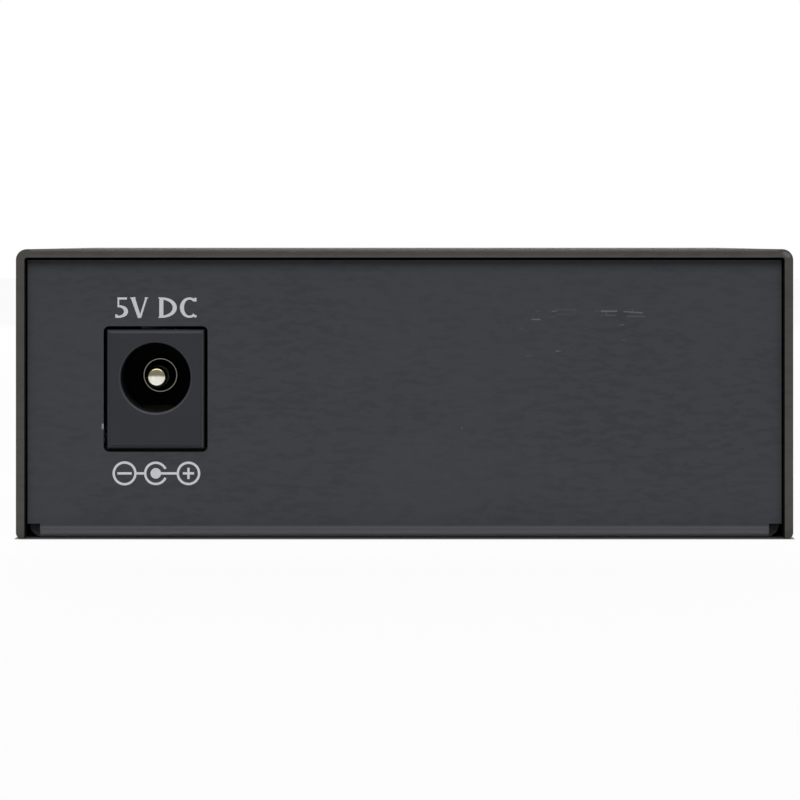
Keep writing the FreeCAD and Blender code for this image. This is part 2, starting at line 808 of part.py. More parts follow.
def light_slots():
    """Two slots for the leads of each status light."""
    slots = []
    for i in range(len(LED_NAMES)):
        y = "%s - led_lead_start - %d * led_lead_stagger" % (PANEL_BACK, i)
        for side in (-1, 1):
            x = "%s + %s * led_lead_spread / 2" % (LED_X, side)
            slots.append(board_slot(x + " - led_lead / 3", x + " + led_lead / 3", y + " - led_lead", y))
    return slots


def capacitor_slots():
    return [
        square("%s + %s * capacitor_lead_spread / 2" % (x, side), y, "(capacitor_lead + 2 * hole_fit)")
        for x, y in (INPUT_CAPACITOR, OUTPUT_CAPACITOR)
        for side in (-1, 1)
    ]


def power_jack_slots():
    return [
        board_slot(
            "%s - jack_tip_width / 2" % JACK_X,
            "%s + jack_tip_width / 2" % JACK_X,
            "%s + jack_length" % JACK_Y,
            "%s + jack_length + jack_strip" % JACK_Y,
        ),
        board_slot(
            "%s - jack_spring_width / 2" % JACK_X,
            "%s + jack_spring_width / 2" % JACK_X,
            "%s + jack_spring_leg" % JACK_Y,
            "%s + jack_spring_leg + jack_spring_sheet" % JACK_Y,
        ),
        board_slot(
            "%s + jack_barrel" % JACK_X,
            "%s + jack_barrel + jack_strip" % JACK_X,
            "%s + jack_switch_start" % JACK_Y,
            "%s + jack_switch_start + jack_switch_width" % JACK_Y,
        ),
    ]


def copper_leg_slots():
    half = "copper_width / 2"
    low = "%s - copper_leg_start - copper_leg_width" % COPPER_Y
    high = "%s - copper_leg_start" % COPPER_Y
    return [
        board_slot("%s - %s" % (COPPER_X, half), "%s - %s + copper_sheet" % (COPPER_X, half), low, high),
        board_slot("%s + %s - copper_sheet" % (COPPER_X, half), "%s + %s" % (COPPER_X, half), low, high),
    ]


def board_standoffs():
    """Four hexagonal standoffs, each with a wider head pressed into the floor, flush with its underside.

    The rear pair take a screw each.  The front pair only carry the board, which the ports hold there.
    """
    standoffs = Piece("board_standoffs")
    for side in ("-", ""):
        x = side + STANDOFF_X
        for y in (STANDOFF_REAR_Y, STANDOFF_FRONT_Y):
            standoffs.pad("Z", "0", "tray_sheet", hexagon(x, y, "standoff_head_flats"))
            standoffs.pad("Z", "tray_sheet", BOARD_BOTTOM, hexagon(x, y, "standoff_flats"))
        standoffs.pocket(
            "Z",
            BOARD_TOP + " - board_screw_length - 2 * screw_fit",
            BOARD_BOTTOM + " + cut_over",
            circle(x, STANDOFF_REAR_Y, "board_screw_radius + screw_fit"),
        )
    return standoffs


def board_screws():
    """Two pan-head screws that hold the board down on its rear standoffs."""
    screws = Piece("board_screws")
    for side in ("-", ""):
        x = side + STANDOFF_X
        head = circle(x, STANDOFF_REAR_Y, "board_screw_head")
        shank = circle(x, STANDOFF_REAR_Y, "board_screw_radius")
        screws.pad("Z", BOARD_TOP, "%s + board_screw_rise" % BOARD_TOP, head)
        screws.pad("Z", BOARD_TOP + " - board_screw_length", BOARD_TOP, shank)
    return screws


# ---------------------------------------------------------------- power jack
def power_jack_body():
    """Moulded jack: a square front block with the plug's bore, and a round-topped barrel behind it."""
    jack = Piece("power_jack_body", JACK_X, JACK_Y, BOARD_TOP)
    half = "jack_width / 2"
    jack.pad("Y", "0", "jack_front", rectangle("-" + half, half, "0", "jack_height"))
    jack.chamfer("jack_chamfer", y="0")
    barrel_foot = rectangle("-jack_barrel", "jack_barrel", "0", "jack_bore_height")
    jack.pad("Y", "jack_front", "jack_length", barrel_foot)
    jack.pad("Y", "jack_front", "jack_length", circle("0", "jack_bore_height", "jack_barrel"))
    jack.pocket("Y", "-cut_over", "jack_bore_depth", circle("0", "jack_bore_height", "jack_bore_radius"))
    jack.chamfer("jack_bore_lip", round_only=True, y="0")
    jack.pocket(
        "Y",
        "jack_bore_depth - cut_over",
        "jack_length + cut_over",
        circle("0", "jack_bore_height", "jack_shank + seat_fit"),
    )
    spring_half = "(jack_spring_width / 2 + hole_fit)"
    spring_low = SPRING_TIP + " - jack_spring_sheet"
    spring_high = "jack_spring_leg + jack_spring_sheet + hole_fit"
    jack.pocket(
        "Z",
        "-cut_over",
        "jack_bore_height - jack_bore_radius + 2 * jack_spring_sheet",
        rectangle("-" + spring_half, spring_half, spring_low, spring_high),
    )
    return jack


# The leaf that touches the plug's sleeve: where its tip and its crest lie along the bore
SPRING_TIP = "(jack_spring_leg - jack_spring_reach)"
SPRING_CREST = "(jack_spring_leg - jack_spring_bend)"


def power_jack_contacts():
    """The centre pin with its riveted terminal, the sleeve's leaf spring, and the switch terminal."""
    pin = Piece("power_jack_pin", JACK_X, JACK_Y, BOARD_TOP)
    shoulder_front = "(jack_bore_depth - jack_shoulder_depth)"
    pin.turn(
        "Y",
        "0",
        "jack_bore_height",
        ("0", "jack_pin_inset"),
        ("jack_pin_radius - jack_pin_round", "jack_pin_inset"),
        ("jack_pin_radius", "jack_pin_inset + jack_pin_round"),
        ("jack_pin_radius", shoulder_front),
        ("jack_shoulder", shoulder_front),
        ("jack_shoulder", "jack_bore_depth"),
        ("jack_shank", "jack_bore_depth"),
        ("jack_shank", "jack_length + jack_strip"),
        ("0", "jack_length + jack_strip"),
    )

    tip = Piece("power_jack_tip_terminal", JACK_X, JACK_Y, BOARD_TOP)
    tip.pad(
        "Y",
        "jack_length",
        "jack_length + jack_strip",
        rectangle(
            "-jack_tip_width / 2",
            "jack_tip_width / 2",
            LEAD_LOW,
            "jack_bore_height + jack_tip_width / 2",
        ),
    )
    rivet_hole = circle("0", "jack_bore_height", "jack_shank + seat_fit")
    tip.pocket("Y", "jack_length - cut_over", "jack_length + jack_strip + cut_over", rivet_hole)

    spring = Piece("power_jack_sleeve_spring", JACK_X, JACK_Y, BOARD_TOP)
    bore_floor = "(jack_bore_height - jack_bore_radius)"
    crest = "(%s + jack_spring_rise)" % bore_floor
    knee = "(%s - 4 * jack_spring_sheet)" % bore_floor
    spring.pad(
        "X",
        "-jack_spring_width / 2",
        "jack_spring_width / 2",
        polygon(
            ("jack_spring_leg", LEAD_LOW),
            ("jack_spring_leg + jack_spring_sheet", LEAD_LOW),
            ("jack_spring_leg + jack_spring_sheet", knee + " + jack_spring_sheet / 2"),
            (SPRING_CREST, crest),
            (SPRING_TIP, crest + " - 2 * jack_spring_sheet"),
            (SPRING_TIP + " + jack_spring_sheet / 2", crest + " - 3 * jack_spring_sheet"),
            (SPRING_CREST, crest + " - 1.25 * jack_spring_sheet"),
            ("jack_spring_leg", knee),
        ),
    )

    switch = Piece("power_jack_switch_terminal", JACK_X, JACK_Y, BOARD_TOP)
    switch.pad(
        "X",
        "jack_barrel",
        "jack_barrel + jack_strip",
        rectangle("jack_switch_start", "jack_switch_start + jack_switch_width", LEAD_LOW, "jack_switch_rise"),
    )
    switch.chamfer("jack_switch_width / 4", along="X", z="jack_switch_rise")


# ---------------------------------------------------------------- copper port
def copper_port():
    """Shielded modular jack, whose front is at y = 0: folded shield, moulded insert, eight contacts."""
    shield = Piece("rj45_shield", COPPER_X, COPPER_Y, BOARD_TOP)
    half = "copper_width / 2"
    shield.pad("Z", "0", "copper_height", rectangle("-" + half, half, "-copper_length", "0"))
    shield.fillet("copper_sheet * 2", along="Y", z="copper_height")
    shield.hollow("copper_sheet", "-Z")
    shield.pocket(
        "Y",
        "-2 * copper_sheet",
        "cut_over",
        rectangle(
            "-cavity_width / 2 - copper_window_margin",
            "cavity_width / 2 + copper_window_margin",
            LATCH_SLOT_FLOOR + " - copper_window_margin",
            CAVITY_CEILING + " + copper_window_margin",
        ),
    )
    leg_low, leg_high = "-copper_leg_start - copper_leg_width", "-copper_leg_start"
    for low, high in (("-" + half, "-%s + copper_sheet" % half), (half + " - copper_sheet", half)):
        shield.pad("X", low, high, rectangle(leg_low, leg_high, LEAD_LOW, "0"))
    tongue_low, tongue_high = "-copper_tongue_start - copper_tongue_length", "-copper_tongue_start"
    top = shield.pad(
        "X",
        "copper_tongue_spread - copper_tongue_width / 2",
        "copper_tongue_spread + copper_tongue_width / 2",
        polygon(
            (tongue_low, "copper_height - copper_sheet / 2"),
            (tongue_high, "copper_height - copper_sheet / 2"),
            (tongue_high, "copper_height"),
            ("%s - copper_tongue_length / 3" % tongue_high, "copper_height + copper_tongue_rise"),
            (tongue_low, "copper_height"),
        ),
    )
    shield.mirror("X", top)
    side = shield.pad(
        "Z",
        "copper_height / 2 - copper_tongue_width / 2",
        "copper_height / 2 + copper_tongue_width / 2",
        polygon(
            (half + " - copper_sheet / 2", tongue_low),
            (half + " - copper_sheet / 2", tongue_high),
            (half, tongue_high),
            (half + " + copper_tongue_rise", "%s - copper_tongue_length / 3" % tongue_high),
            (half, tongue_low),
        ),
    )
    shield.mirror("X", side)

    insert = Piece("rj45_insert", COPPER_X, COPPER_Y, BOARD_TOP)
    insert_half = "(copper_width / 2 - copper_sheet - seat_fit)"
    insert_top = "(copper_height - copper_sheet - seat_fit)"
    insert_outline = rectangle(
        "-" + insert_half,
        insert_half,
        "-copper_length + copper_sheet + seat_fit",
        "-copper_sheet - seat_fit",
    )
    insert.pad("Z", "0", insert_top, insert_outline)
    insert.chamfer("copper_sheet", along="Y", z=insert_top)
    pegs = [circle("%s * peg_spread / 2" % side, "-peg_depth", "peg_radius") for side in (-1, 1)]
    insert.pad("Z", LEAD_LOW, "0", *pegs)
    insert.pocket(
        "Y",
        "-cavity_depth",
        "cut_over",
        polygon(
            ("-cavity_width / 2", CAVITY_FLOOR),
            ("-latch_width / 2", CAVITY_FLOOR),
            ("-latch_width / 2", LATCH_FLOOR),
            ("-latch_slot_width / 2", LATCH_FLOOR),
            ("-latch_slot_width / 2", LATCH_SLOT_FLOOR),
            ("latch_slot_width / 2", LATCH_SLOT_FLOOR),
            ("latch_slot_width / 2", LATCH_FLOOR),
            ("latch_width / 2", LATCH_FLOOR),
            ("latch_width / 2", CAVITY_FLOOR),
            ("cavity_width / 2", CAVITY_FLOOR),
            ("cavity_width / 2", CAVITY_CEILING),
            ("-cavity_width / 2", CAVITY_CEILING),
        ),
    )
    first = "-(contact_count - 1) * contact_spacing / 2"
    run_top = "(%s + contact_groove_rise)" % CAVITY_CEILING
    groove_mouth = CAVITY_CEILING + " - contact_sheet"
    groove = insert.pocket(
        "X",
        first + " - contact_groove / 2",
        first + " + contact_groove / 2",
        polygon(
            ("-contact_front + contact_sheet", groove_mouth),
            ("-contact_front + contact_sheet", run_top),
            ("-contact_rear - 2 * contact_sheet", run_top),
            ("-contact_rear - 2 * contact_sheet", "-cut_over"),
            ("-contact_rear + contact_sheet", "-cut_over"),
            ("-contact_rear + contact_sheet", CAVITY_CEILING),
            ("-cavity_depth + contact_sheet", CAVITY_CEILING),
            ("-cavity_depth + contact_sheet", groove_mouth),
        ),
    )
    insert.repeat(groove, "X", "contact_count", "contact_spacing")

    contacts = Piece("rj45_contacts", COPPER_X, COPPER_Y, BOARD_TOP)
    wire_top = "(%s - contact_sheet / 3)" % run_top
    wire = contacts.pad(
        "X",
        first + " - contact_width / 2",
        first + " + contact_width / 2",
        polygon(
            ("-contact_rear", LEAD_LOW),
            ("-contact_rear", wire_top + " - contact_sheet"),
            ("-contact_front - 3 * contact_sheet", wire_top + " - contact_sheet"),
            ("-contact_tip_depth", CAVITY_CEILING + " - contact_dip"),
            ("-contact_tip_depth + contact_sheet / 2", CAVITY_CEILING + " - contact_dip - contact_sheet"),
            ("-contact_front", wire_top + " - 2 * contact_sheet"),
            ("-contact_front", wire_top),
            ("-contact_rear - contact_sheet", wire_top),
            ("-contact_rear - contact_sheet", LEAD_LOW),
        ),
    )
    contacts.repeat(wire, "X", "contact_count", "contact_spacing")


# ---------------------------------------------------------------- fibre port
def fibre_port():
    """Duplex transceiver: housing with two keyed sockets, lid, ferrule sleeves, latch clips and pins."""
    housing = Piece("fibre_housing", FIBRE_X, FIBRE_Y, BOARD_TOP)
    half = "fibre_width / 2"
    body_half = "(fibre_width / 2 - fibre_rim)"
    socket_top = "(socket_floor + socket_height)"
    housing.pad("Y", "-fibre_flange", "0", rectangle("-" + half, half, "0", "fibre_height"))
    housing.chamfer("fibre_rim", along="Y")
    housing.pad(
        "Y",
        "-fibre_length",
        "-fibre_flange",
        rectangle("-" + body_half, body_half, "0", "fibre_height - fibre_rim"),
    )
    for k in (-1, 1):
        x = "%s * socket_spacing / 2" % k
        housing.pocket(
            "Y",
            "-socket_depth",
            "cut_over",
            rectangle(x + " - socket_width / 2", x + " + socket_width / 2", "socket_floor", socket_top),
        )
        housing.chamfer(
            "socket_lip",
            x=(x, x + " - socket_width / 2", x + " + socket_width / 2"),
            y="0",
            z=("socket_floor", socket_top, "socket_floor + socket_height / 2"),
        )
        housing.pocket(
            "Y",
            "-key_depth",
            "cut_over",
            rectangle(
                x + " - key_width / 2",
                x + " + key_width / 2",
                socket_top + " - seat_fit",
                socket_top + " + key_rise",
            ),
        )
        housing.pocket(
            "Y",
            "-socket_depth - sleeve_seat",
            "-socket_depth + cut_over",
            circle(x, "socket_floor + socket_height / 2", "sleeve_radius + seat_fit"),
        )
    posts = [square("%s * post_spread / 2" % k, "-post_depth", "post_side") for k in (-1, 1)]
    housing.pad("Z", LEAD_LOW, "0", *posts)

    lid = Piece("fibre_module_lid", FIBRE_X, FIBRE_Y, BOARD_TOP)
    lid_half = "(%s + lid_sheet + seat_fit)" % body_half
    lid_top = "(fibre_height - fibre_rim + lid_sheet + seat_fit)"
    lid.pad(
        "Z",
        lid_top + " - lid_skirt",
        lid_top,
        rectangle("-" + lid_half, lid_half, "-fibre_length - lid_sheet - seat_fit", "-lid_start"),
    )
    lid.hollow("lid_sheet", "-Z", "+Y")

    for name, k in (("rx", -1), ("tx", 1)):
        x = "%s + %s * socket_spacing / 2" % (FIBRE_X, k)
        ferrule_sleeve(name + "_ferrule_sleeve", x)
        latch_clip(name + "_latch_clip", x)

    pins = Piece("fibre_pins", FIBRE_X, FIBRE_Y, BOARD_TOP)
    first = "-(fibre_pin_count - 1) * fibre_pin_spacing / 2"
    pin = pins.pad("Z", LEAD_LOW, "0", square(first, "-fibre_pin_depth", "fibre_pin_side"))
    pins.repeat(pin, "X", "fibre_pin_count", "fibre_pin_spacing")


def ferrule_sleeve(name, x):
    """Turned sleeve that a plug's ferrule slides into, seated in the back of its socket."""
    sleeve = Piece(name, x, FIBRE_Y, BOARD_TOP)
    rear = "-socket_depth - sleeve_seat"
    sleeve.turn(
        "Y",
        "0",
        "socket_floor + socket_height / 2",
        ("0", rear),
        ("sleeve_radius", rear),
        ("sleeve_radius", "-sleeve_inset"),
        ("sleeve_bore", "-sleeve_inset"),
        ("sleeve_bore", "-sleeve_inset - sleeve_bore_depth"),
        ("0", "-sleeve_inset - sleeve_bore_depth"),
    )
    return sleeve


def latch_clip(name, x):
    """Moulded clip: a plate around the sleeve, and two arms whose hooks catch the plug."""
    clip = Piece(name, x, FIBRE_Y, BOARD_TOP)
    middle = "(socket_floor + socket_height / 2)"
    plate_front = "(clip_sheet - socket_depth)"
    plate_half = "(socket_width / 2 - seat_fit)"
    clip.pad(
        "Y",
        "-socket_depth",
        plate_front,
        rectangle(
            "-" + plate_half,
            plate_half,
            "socket_floor + seat_fit",
            "socket_floor + socket_height - seat_fit",
        ),
    )
    sleeve_hole = circle("0", middle, "sleeve_radius + seat_fit")
    clip.pocket("Y", "-socket_depth - cut_over", plate_front + " + cut_over", sleeve_hole)
    arm = clip.pad(
        "Z",
        middle + " - clip_height / 2",
        middle + " + clip_height / 2",
        polygon(
            ("clip_arm", plate_front),
            ("clip_arm + clip_sheet", plate_front),
            ("clip_arm + clip_sheet", "-clip_inset"),
            ("clip_arm", "-clip_inset"),
            ("clip_arm - clip_hook", "-clip_inset - clip_hook_length / 2"),
            ("clip_arm - clip_hook", "-clip_inset - clip_hook_length"),
            ("clip_arm", "-clip_inset - clip_hook_length"),
        ),
    )
    clip.mirror("X", arm)
    return clip


# ---------------------------------------------------------------- status lights
LED_NAMES = ("power_led", "fibre_link_led", "copper_link_led", "speed_led")


def light_outline(across, up, margin):
    """The outline of one status light, widened by a margin all round."""
    return rectangle(
        "%s - led_width / 2 - %s" % (across, margin),
        "%s + led_width / 2 + %s" % (across, margin),
        "%s - led_height / 2 - %s" % (up, margin),
        "%s + led_height / 2 + %s" % (up, margin),
    )


def status_lights():
    """Four flat lights stacked in one moulded holder behind the port panel, whose inner face is at y = 0."""
    holder = Piece("led_holder", LED_X, PANEL_BACK, BOARD_TOP)
    rear = "-panel_clearance - led_holder_depth"
    top = "(led_first + %d * led_spacing + led_holder_margin)" % (len(LED_NAMES) - 1)
    outline = rectangle("-led_holder_width / 2", "led_holder_width / 2", rear, "-panel_clearance")
    holder.pad("Z", "0", top, outline)
    holder.chamfer("led_lead", along="X", y=rear, z=top)
    levels = ["(led_first + %d * led_spacing)" % i for i in range(len(LED_NAMES))]
    seats = [light_outline("0", level, "seat_fit") for level in levels]
    holder.pocket("Y", rear + " - cut_over", "cut_over", *seats)

    leads = Piece("led_leads", LED_X, PANEL_BACK, BOARD_TOP)
    for i, (name, height) in enumerate(zip(LED_NAMES, levels)):
        light = Piece(name, LED_X, PANEL_BACK, "%s + %s" % (BOARD_TOP, height))
        light.pad("Y", "-led_seat + seat_fit", "tray_sheet + led_proud", light_outline("0", "0", "0"))
        light.chamfer("led_chamfer", y="tray_sheet + led_proud")
        turn_down = "(-led_lead_start - %d * led_lead_stagger)" % i
        for k in (-1, 1):
            x = "%s * led_lead_spread / 2" % k
            leads.pad(
                "X",
                x + " - led_lead / 3",
                x + " + led_lead / 3",
                polygon(
                    ("-led_seat", height + " - led_lead / 3"),
                    ("-led_seat", height + " + led_lead / 3"),
                    (turn_down + " - led_lead", height + " + led_lead / 3"),
                    (turn_down + " - led_lead", LEAD_LOW),
                    (turn_down, LEAD_LOW),
                    (turn_down, height + " - led_lead / 3"),
                ),
            )


# ---------------------------------------------------------------- mode switch
def mode_switch():
    """Four sliders in one body behind a window of the port panel, whose inner face is at y = 0."""
    switch = Piece("dip_switch_body", DIP_X, PANEL_BACK, BOARD_TOP)
    front = "-panel_clearance"
    slot_half = "(knob_width / 2 + knob_side_gap)"
    channel_half = "(knob_width / 2 + slider_foot_margin + knob_side_gap)"
    slot_top = "(slider_low + knob_height + knob_travel + 2 * knob_end_gap)"
    channel_low = "slider_low - slider_foot_margin"
    channel_high = slot_top + " + slider_foot_margin"
    channel_front = "(-panel_clearance - slider_face)"
    channel_rear = "(-panel_clearance - slider_face - slider_foot - 2 * knob_side_gap)"
    outline = rectangle("-dip_width / 2", "dip_width / 2", front + " - dip_depth", front)
    switch.pad("Z", "0", "dip_height", outline)
    switch.chamfer("knob_end_gap", y=front)
    slot = switch.pocket(
        "Y",
        channel_front + " - seat_fit",
        "cut_over",
        rectangle(FIRST_SLIDER + " - " + slot_half, FIRST_SLIDER + " + " + slot_half, "slider_low", slot_top),
    )
    switch.repeat(slot, "X", "slider_count", "dip_spacing")
    channel = switch.pocket(
        "Y",
        channel_rear,
        channel_front,
        rectangle(
            FIRST_SLIDER + " - " + channel_half,
            FIRST_SLIDER + " + " + channel_half,
            channel_low,
            channel_high,
        ),
    )
    switch.repeat(channel, "X", "slider_count", "dip_spacing")

    for i in range(SIZES["slider_count"]):
        slider = Piece(
            "dip_slider_%d" % (i + 1),
            "%s - %s - %d * dip_spacing" % (DIP_X, FIRST_SLIDER, i),
            PANEL_BACK,
            "%s + slider_low + knob_end_gap" % BOARD_TOP,
        )
        foot_front = "(-panel_clearance - slider_face - knob_side_gap)"
        slider.pad(
            "Y",
            foot_front + " - slider_foot",
            foot_front,
            rectangle(
                "-knob_width / 2 - slider_foot_margin",
                "knob_width / 2 + slider_foot_margin",
                "-slider_foot_margin",
                "knob_height + slider_foot_margin",
            ),
        )
        slider.pad(
            "Y",
            foot_front,
            "tray_sheet - knob_sink",
            rectangle("-knob_width / 2", "knob_width / 2", "0", "knob_height"),
        )
        slider.chamfer("knob_side_gap", y="tray_sheet - knob_sink")

    pins = Piece("dip_switch_pins", DIP_X, PANEL_BACK, BOARD_TOP)
    for row in ("dip_pin_front", "dip_pin_rear"):
        high = "-panel_clearance - " + row
        low = high + " - dip_pin"
        outline = rectangle(FIRST_SLIDER + " - dip_pin / 3", FIRST_SLIDER + " + dip_pin / 3", low, high)
        pin = pins.pad("Z", LEAD_LOW, "0", outline)
        pins.repeat(pin, "X", "slider_count", "dip_spacing")


# ---------------------------------------------------------------- parts on the board
def gull_leads(package, half_body, count, level):
    """Bent leads along both long sides of a chip package, as one row and its mirror image."""
    first = "-(%s - 1) * lead_spacing / 2" % count
    lead = package.pad(
        "Y",
        first + " - lead_width / 2",
        first + " + lead_width / 2",
        polygon(
            (half_body + " - lead_sheet", level + " + lead_sheet"),
            (half_body + " + lead_reach / 3", level + " + lead_sheet"),
            (half_body + " + lead_reach / 2", "lead_sheet"),
            (half_body + " + lead_reach", "lead_sheet"),
            (half_body + " + lead_reach", "0"),
            (half_body + " + lead_reach / 3", "0"),
            (half_body + " + lead_reach / 5", level),
            (half_body + " - lead_sheet", level),
        ),
    )
    package.repeat(lead, "Y", count, "lead_spacing")
    other = package.pad(
        "Y",
        first + " - lead_width / 2",
        first + " + lead_width / 2",
        polygon(
            ("lead_sheet - " + half_body, level + " + lead_sheet"),
            ("-%s - lead_reach / 3" % half_body, level + " + lead_sheet"),
            ("-%s - lead_reach / 2" % half_body, "lead_sheet"),
            ("-%s - lead_reach" % half_body, "lead_sheet"),
            ("-%s - lead_reach" % half_body, "0"),
            ("-%s - lead_reach / 3" % half_body, "0"),
            ("-%s - lead_reach / 5" % half_body, level),
            ("lead_sheet - " + half_body, level),
        ),
    )
    package.repeat(other, "Y", count, "lead_spacing")


def chips():
    """The converter chip, its memory, the isolation transformer and the voltage regulator."""
    chip = Piece("converter_chip", "0", "-chip_ahead", BOARD_TOP)
    chip.pad("Z", "0", "chip_height", square("0", "0", "chip_side"))
    chip.chamfer("chip_chamfer", z="chip_height")

    memory = Piece("memory_chip", "memory_side", "-chip_ahead", BOARD_TOP)
    half = "memory_width / 2"
    outline = rectangle("-" + half, half, "-memory_length / 2", "memory_length / 2")
    memory.pad("Z", "lead_sheet", "memory_height", outline)
    memory.chamfer("chip_chamfer", z="memory_height")
    gull_leads(memory, half, "4", "(memory_height / 2)")

    magnetics = Piece(
        "isolation_transformer",
        "%s - magnetics_shift" % COPPER_X,
        "%s - copper_length - magnetics_gap - magnetics_width / 2" % COPPER_Y,
        BOARD_TOP,
    )
    half = "magnetics_length / 2"
    outline = rectangle("-" + half, half, "-magnetics_width / 2", "magnetics_width / 2")
    magnetics.pad("Z", "lead_sheet", "magnetics_height", outline)
    magnetics.chamfer("chip_chamfer * 2", z="magnetics_height")
    gull_leads(magnetics, half, "8", "(magnetics_height / 4)")

    regulator = Piece("voltage_regulator", REGULATOR_X, "regulator_rear - %s" % BOARD_HALF_LENGTH, BOARD_TOP)
    wide = "regulator_width / 2"
    deep = "regulator_length / 2"
    regulator.pad("Z", "lead_sheet", "regulator_height", rectangle("-" + wide, wide, "-" + deep, deep))
    regulator.chamfer("chip_chamfer", z="regulator_height")
    tab = "regulator_width / 4"
    regulator.pad("Z", "0", "lead_sheet", rectangle("-" + tab, tab, "0", deep + " + lead_reach"))
    for k in (-1, 0, 1):
        x = "%s * regulator_width / 3" % k
        regulator.pad(
            "Z",
            "0",
            "lead_sheet",
            rectangle(x + " - lead_width", x + " + lead_width", "-%s - lead_reach" % deep, "-%s / 2" % deep),
        )


def crystal():
    """Flat ceramic base with a metal lid, which times the converter chip."""
    can = Piece("crystal", "-crystal_side", "-chip_ahead", BOARD_TOP)
    wide = "crystal_width / 2"
    deep = "crystal_length / 2"
    can.pad("Z", "0", "crystal_height / 2", rectangle("-" + wide, wide, "-" + deep, deep))
    can.pad(
        "Z",
        "crystal_height / 2",
        "crystal_height",
        rectangle(
            "crystal_rim - " + wide,
            wide + " - crystal_rim",
            "crystal_rim - " + deep,
            deep + " - crystal_rim",
        ),
    )


def capacitor(name, place):
    """Upright electrolytic can with two leads."""
    x, y = place
    can = Piece(name, x, y, BOARD_TOP)
    can.pad("Z", "0", "capacitor_height", circle("0", "0", "capacitor_radius"))
    for side in (-1, 1):
        can.pad("Z", LEAD_LOW, "0", square("%s * capacitor_lead_spread / 2" % side, "0", "capacitor_lead"))


def power_inductor():
    """Moulded square inductor with cut corners, which smooths the supply."""
    inductor = Piece("power_inductor", INDUCTOR_X, "inductor_rear - %s" % BOARD_HALF_LENGTH, BOARD_TOP)
    inductor.pad("Z", "0", "inductor_height", square("0", "0", "inductor_side_length"))
    inductor.chamfer("inductor_chamfer", along="Z")


def small_parts():
    """The input fuse and the small passive parts beside the converter chip."""
    fuse = Piece("input_fuse", FUSE_X, "fuse_rear - %s" % BOARD_HALF_LENGTH, BOARD_TOP)
    outline = rectangle("-fuse_length / 2", "fuse_length / 2", "-fuse_width / 2", "fuse_width / 2")
    fuse.pad("Z", "0", "fuse_height", outline)
    fuse.chamfer("chip_chamfer", along="Y", z="fuse_height")

    passives = Piece("smd_passives", "0", "-chip_ahead", BOARD_TOP)
    first = "-(passive_count - 1) * passive_spacing / 2"
    for low in ("chip_side / 2 + passive_gap", "-chip_side / 2 - passive_gap - passive_length"):
        outline = rectangle(
            first + " - passive_width / 2",
            first + " + passive_width / 2",
            low,
            low + " + passive_length",
        )
        part = passives.pad("Z", "0", "passive_height", outline)
        passives.repeat(part, "X", "passive_count", "passive_spacing")


def check_and_export():
    """Stops on any failed object or bad shape, then writes one STEP file for each sub-part."""
    document.recompute()
    failed = [item.Name for item in document.Objects if {"Invalid", "Error"} & set(item.State)]
    if failed:
        raise SystemExit("failed objects: " + ", ".join(failed))
    for body in pieces:
        if body.Shape.isNull() or not body.Shape.isValid() or not body.Shape.Solids:
            raise SystemExit("bad shape: " + body.Label)
    os.makedirs("parts", exist_ok=True)
    for body in pieces:
        body.Shape.exportStep("parts/%s.step" % body.Label)
        print("%-28s %2d solid(s) %10.2f mm3" % (body.Label, len(body.Shape.Solids), body.Shape.Volume))


top_cover()
base_tray()
cover_screws()
circuit_board()
board_standoffs()
board_screws()
power_jack_body()
power_jack_contacts()
copper_port()
fibre_port()
status_lights()
mode_switch()
chips()
crystal()
capacitor("input_capacitor", INPUT_CAPACITOR)
capacitor("output_capacitor", OUTPUT_CAPACITOR)
power_inductor()
small_parts()
check_and_export()
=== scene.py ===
import json
import math

import bmesh
import bpy
from mathutils import Matrix, Vector, geometry


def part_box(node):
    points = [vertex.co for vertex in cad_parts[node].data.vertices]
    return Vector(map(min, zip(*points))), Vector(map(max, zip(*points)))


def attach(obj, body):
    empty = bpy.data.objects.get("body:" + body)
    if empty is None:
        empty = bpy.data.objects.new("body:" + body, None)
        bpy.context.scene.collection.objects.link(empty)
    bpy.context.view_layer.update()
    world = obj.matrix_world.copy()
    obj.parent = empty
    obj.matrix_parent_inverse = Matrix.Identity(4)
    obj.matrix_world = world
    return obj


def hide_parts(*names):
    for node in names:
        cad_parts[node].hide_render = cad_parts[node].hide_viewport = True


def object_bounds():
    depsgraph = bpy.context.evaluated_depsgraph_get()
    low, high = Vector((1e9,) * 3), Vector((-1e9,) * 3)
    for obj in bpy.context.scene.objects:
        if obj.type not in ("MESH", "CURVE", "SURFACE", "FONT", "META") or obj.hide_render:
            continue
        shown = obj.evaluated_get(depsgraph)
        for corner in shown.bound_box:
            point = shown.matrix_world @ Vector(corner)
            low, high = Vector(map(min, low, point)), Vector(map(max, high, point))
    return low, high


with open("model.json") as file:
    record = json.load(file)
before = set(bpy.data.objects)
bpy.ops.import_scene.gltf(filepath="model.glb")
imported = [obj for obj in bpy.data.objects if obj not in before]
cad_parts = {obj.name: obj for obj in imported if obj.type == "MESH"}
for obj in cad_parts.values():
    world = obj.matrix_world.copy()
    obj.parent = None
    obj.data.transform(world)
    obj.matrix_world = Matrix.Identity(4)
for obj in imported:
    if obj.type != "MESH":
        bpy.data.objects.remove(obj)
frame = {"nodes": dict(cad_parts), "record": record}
cadLow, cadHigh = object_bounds()
nodes = frame["nodes"]
mm = 0.001


# Colours are written as they look on screen, from 0 to 255
def srgb(red, green, blue):
    def linear(value):
        value /= 255
        return value / 12.92 if value <= 0.04045 else ((value + 0.055) / 1.055) ** 2.4

    return (linear(red), linear(green), linear(blue), 1)


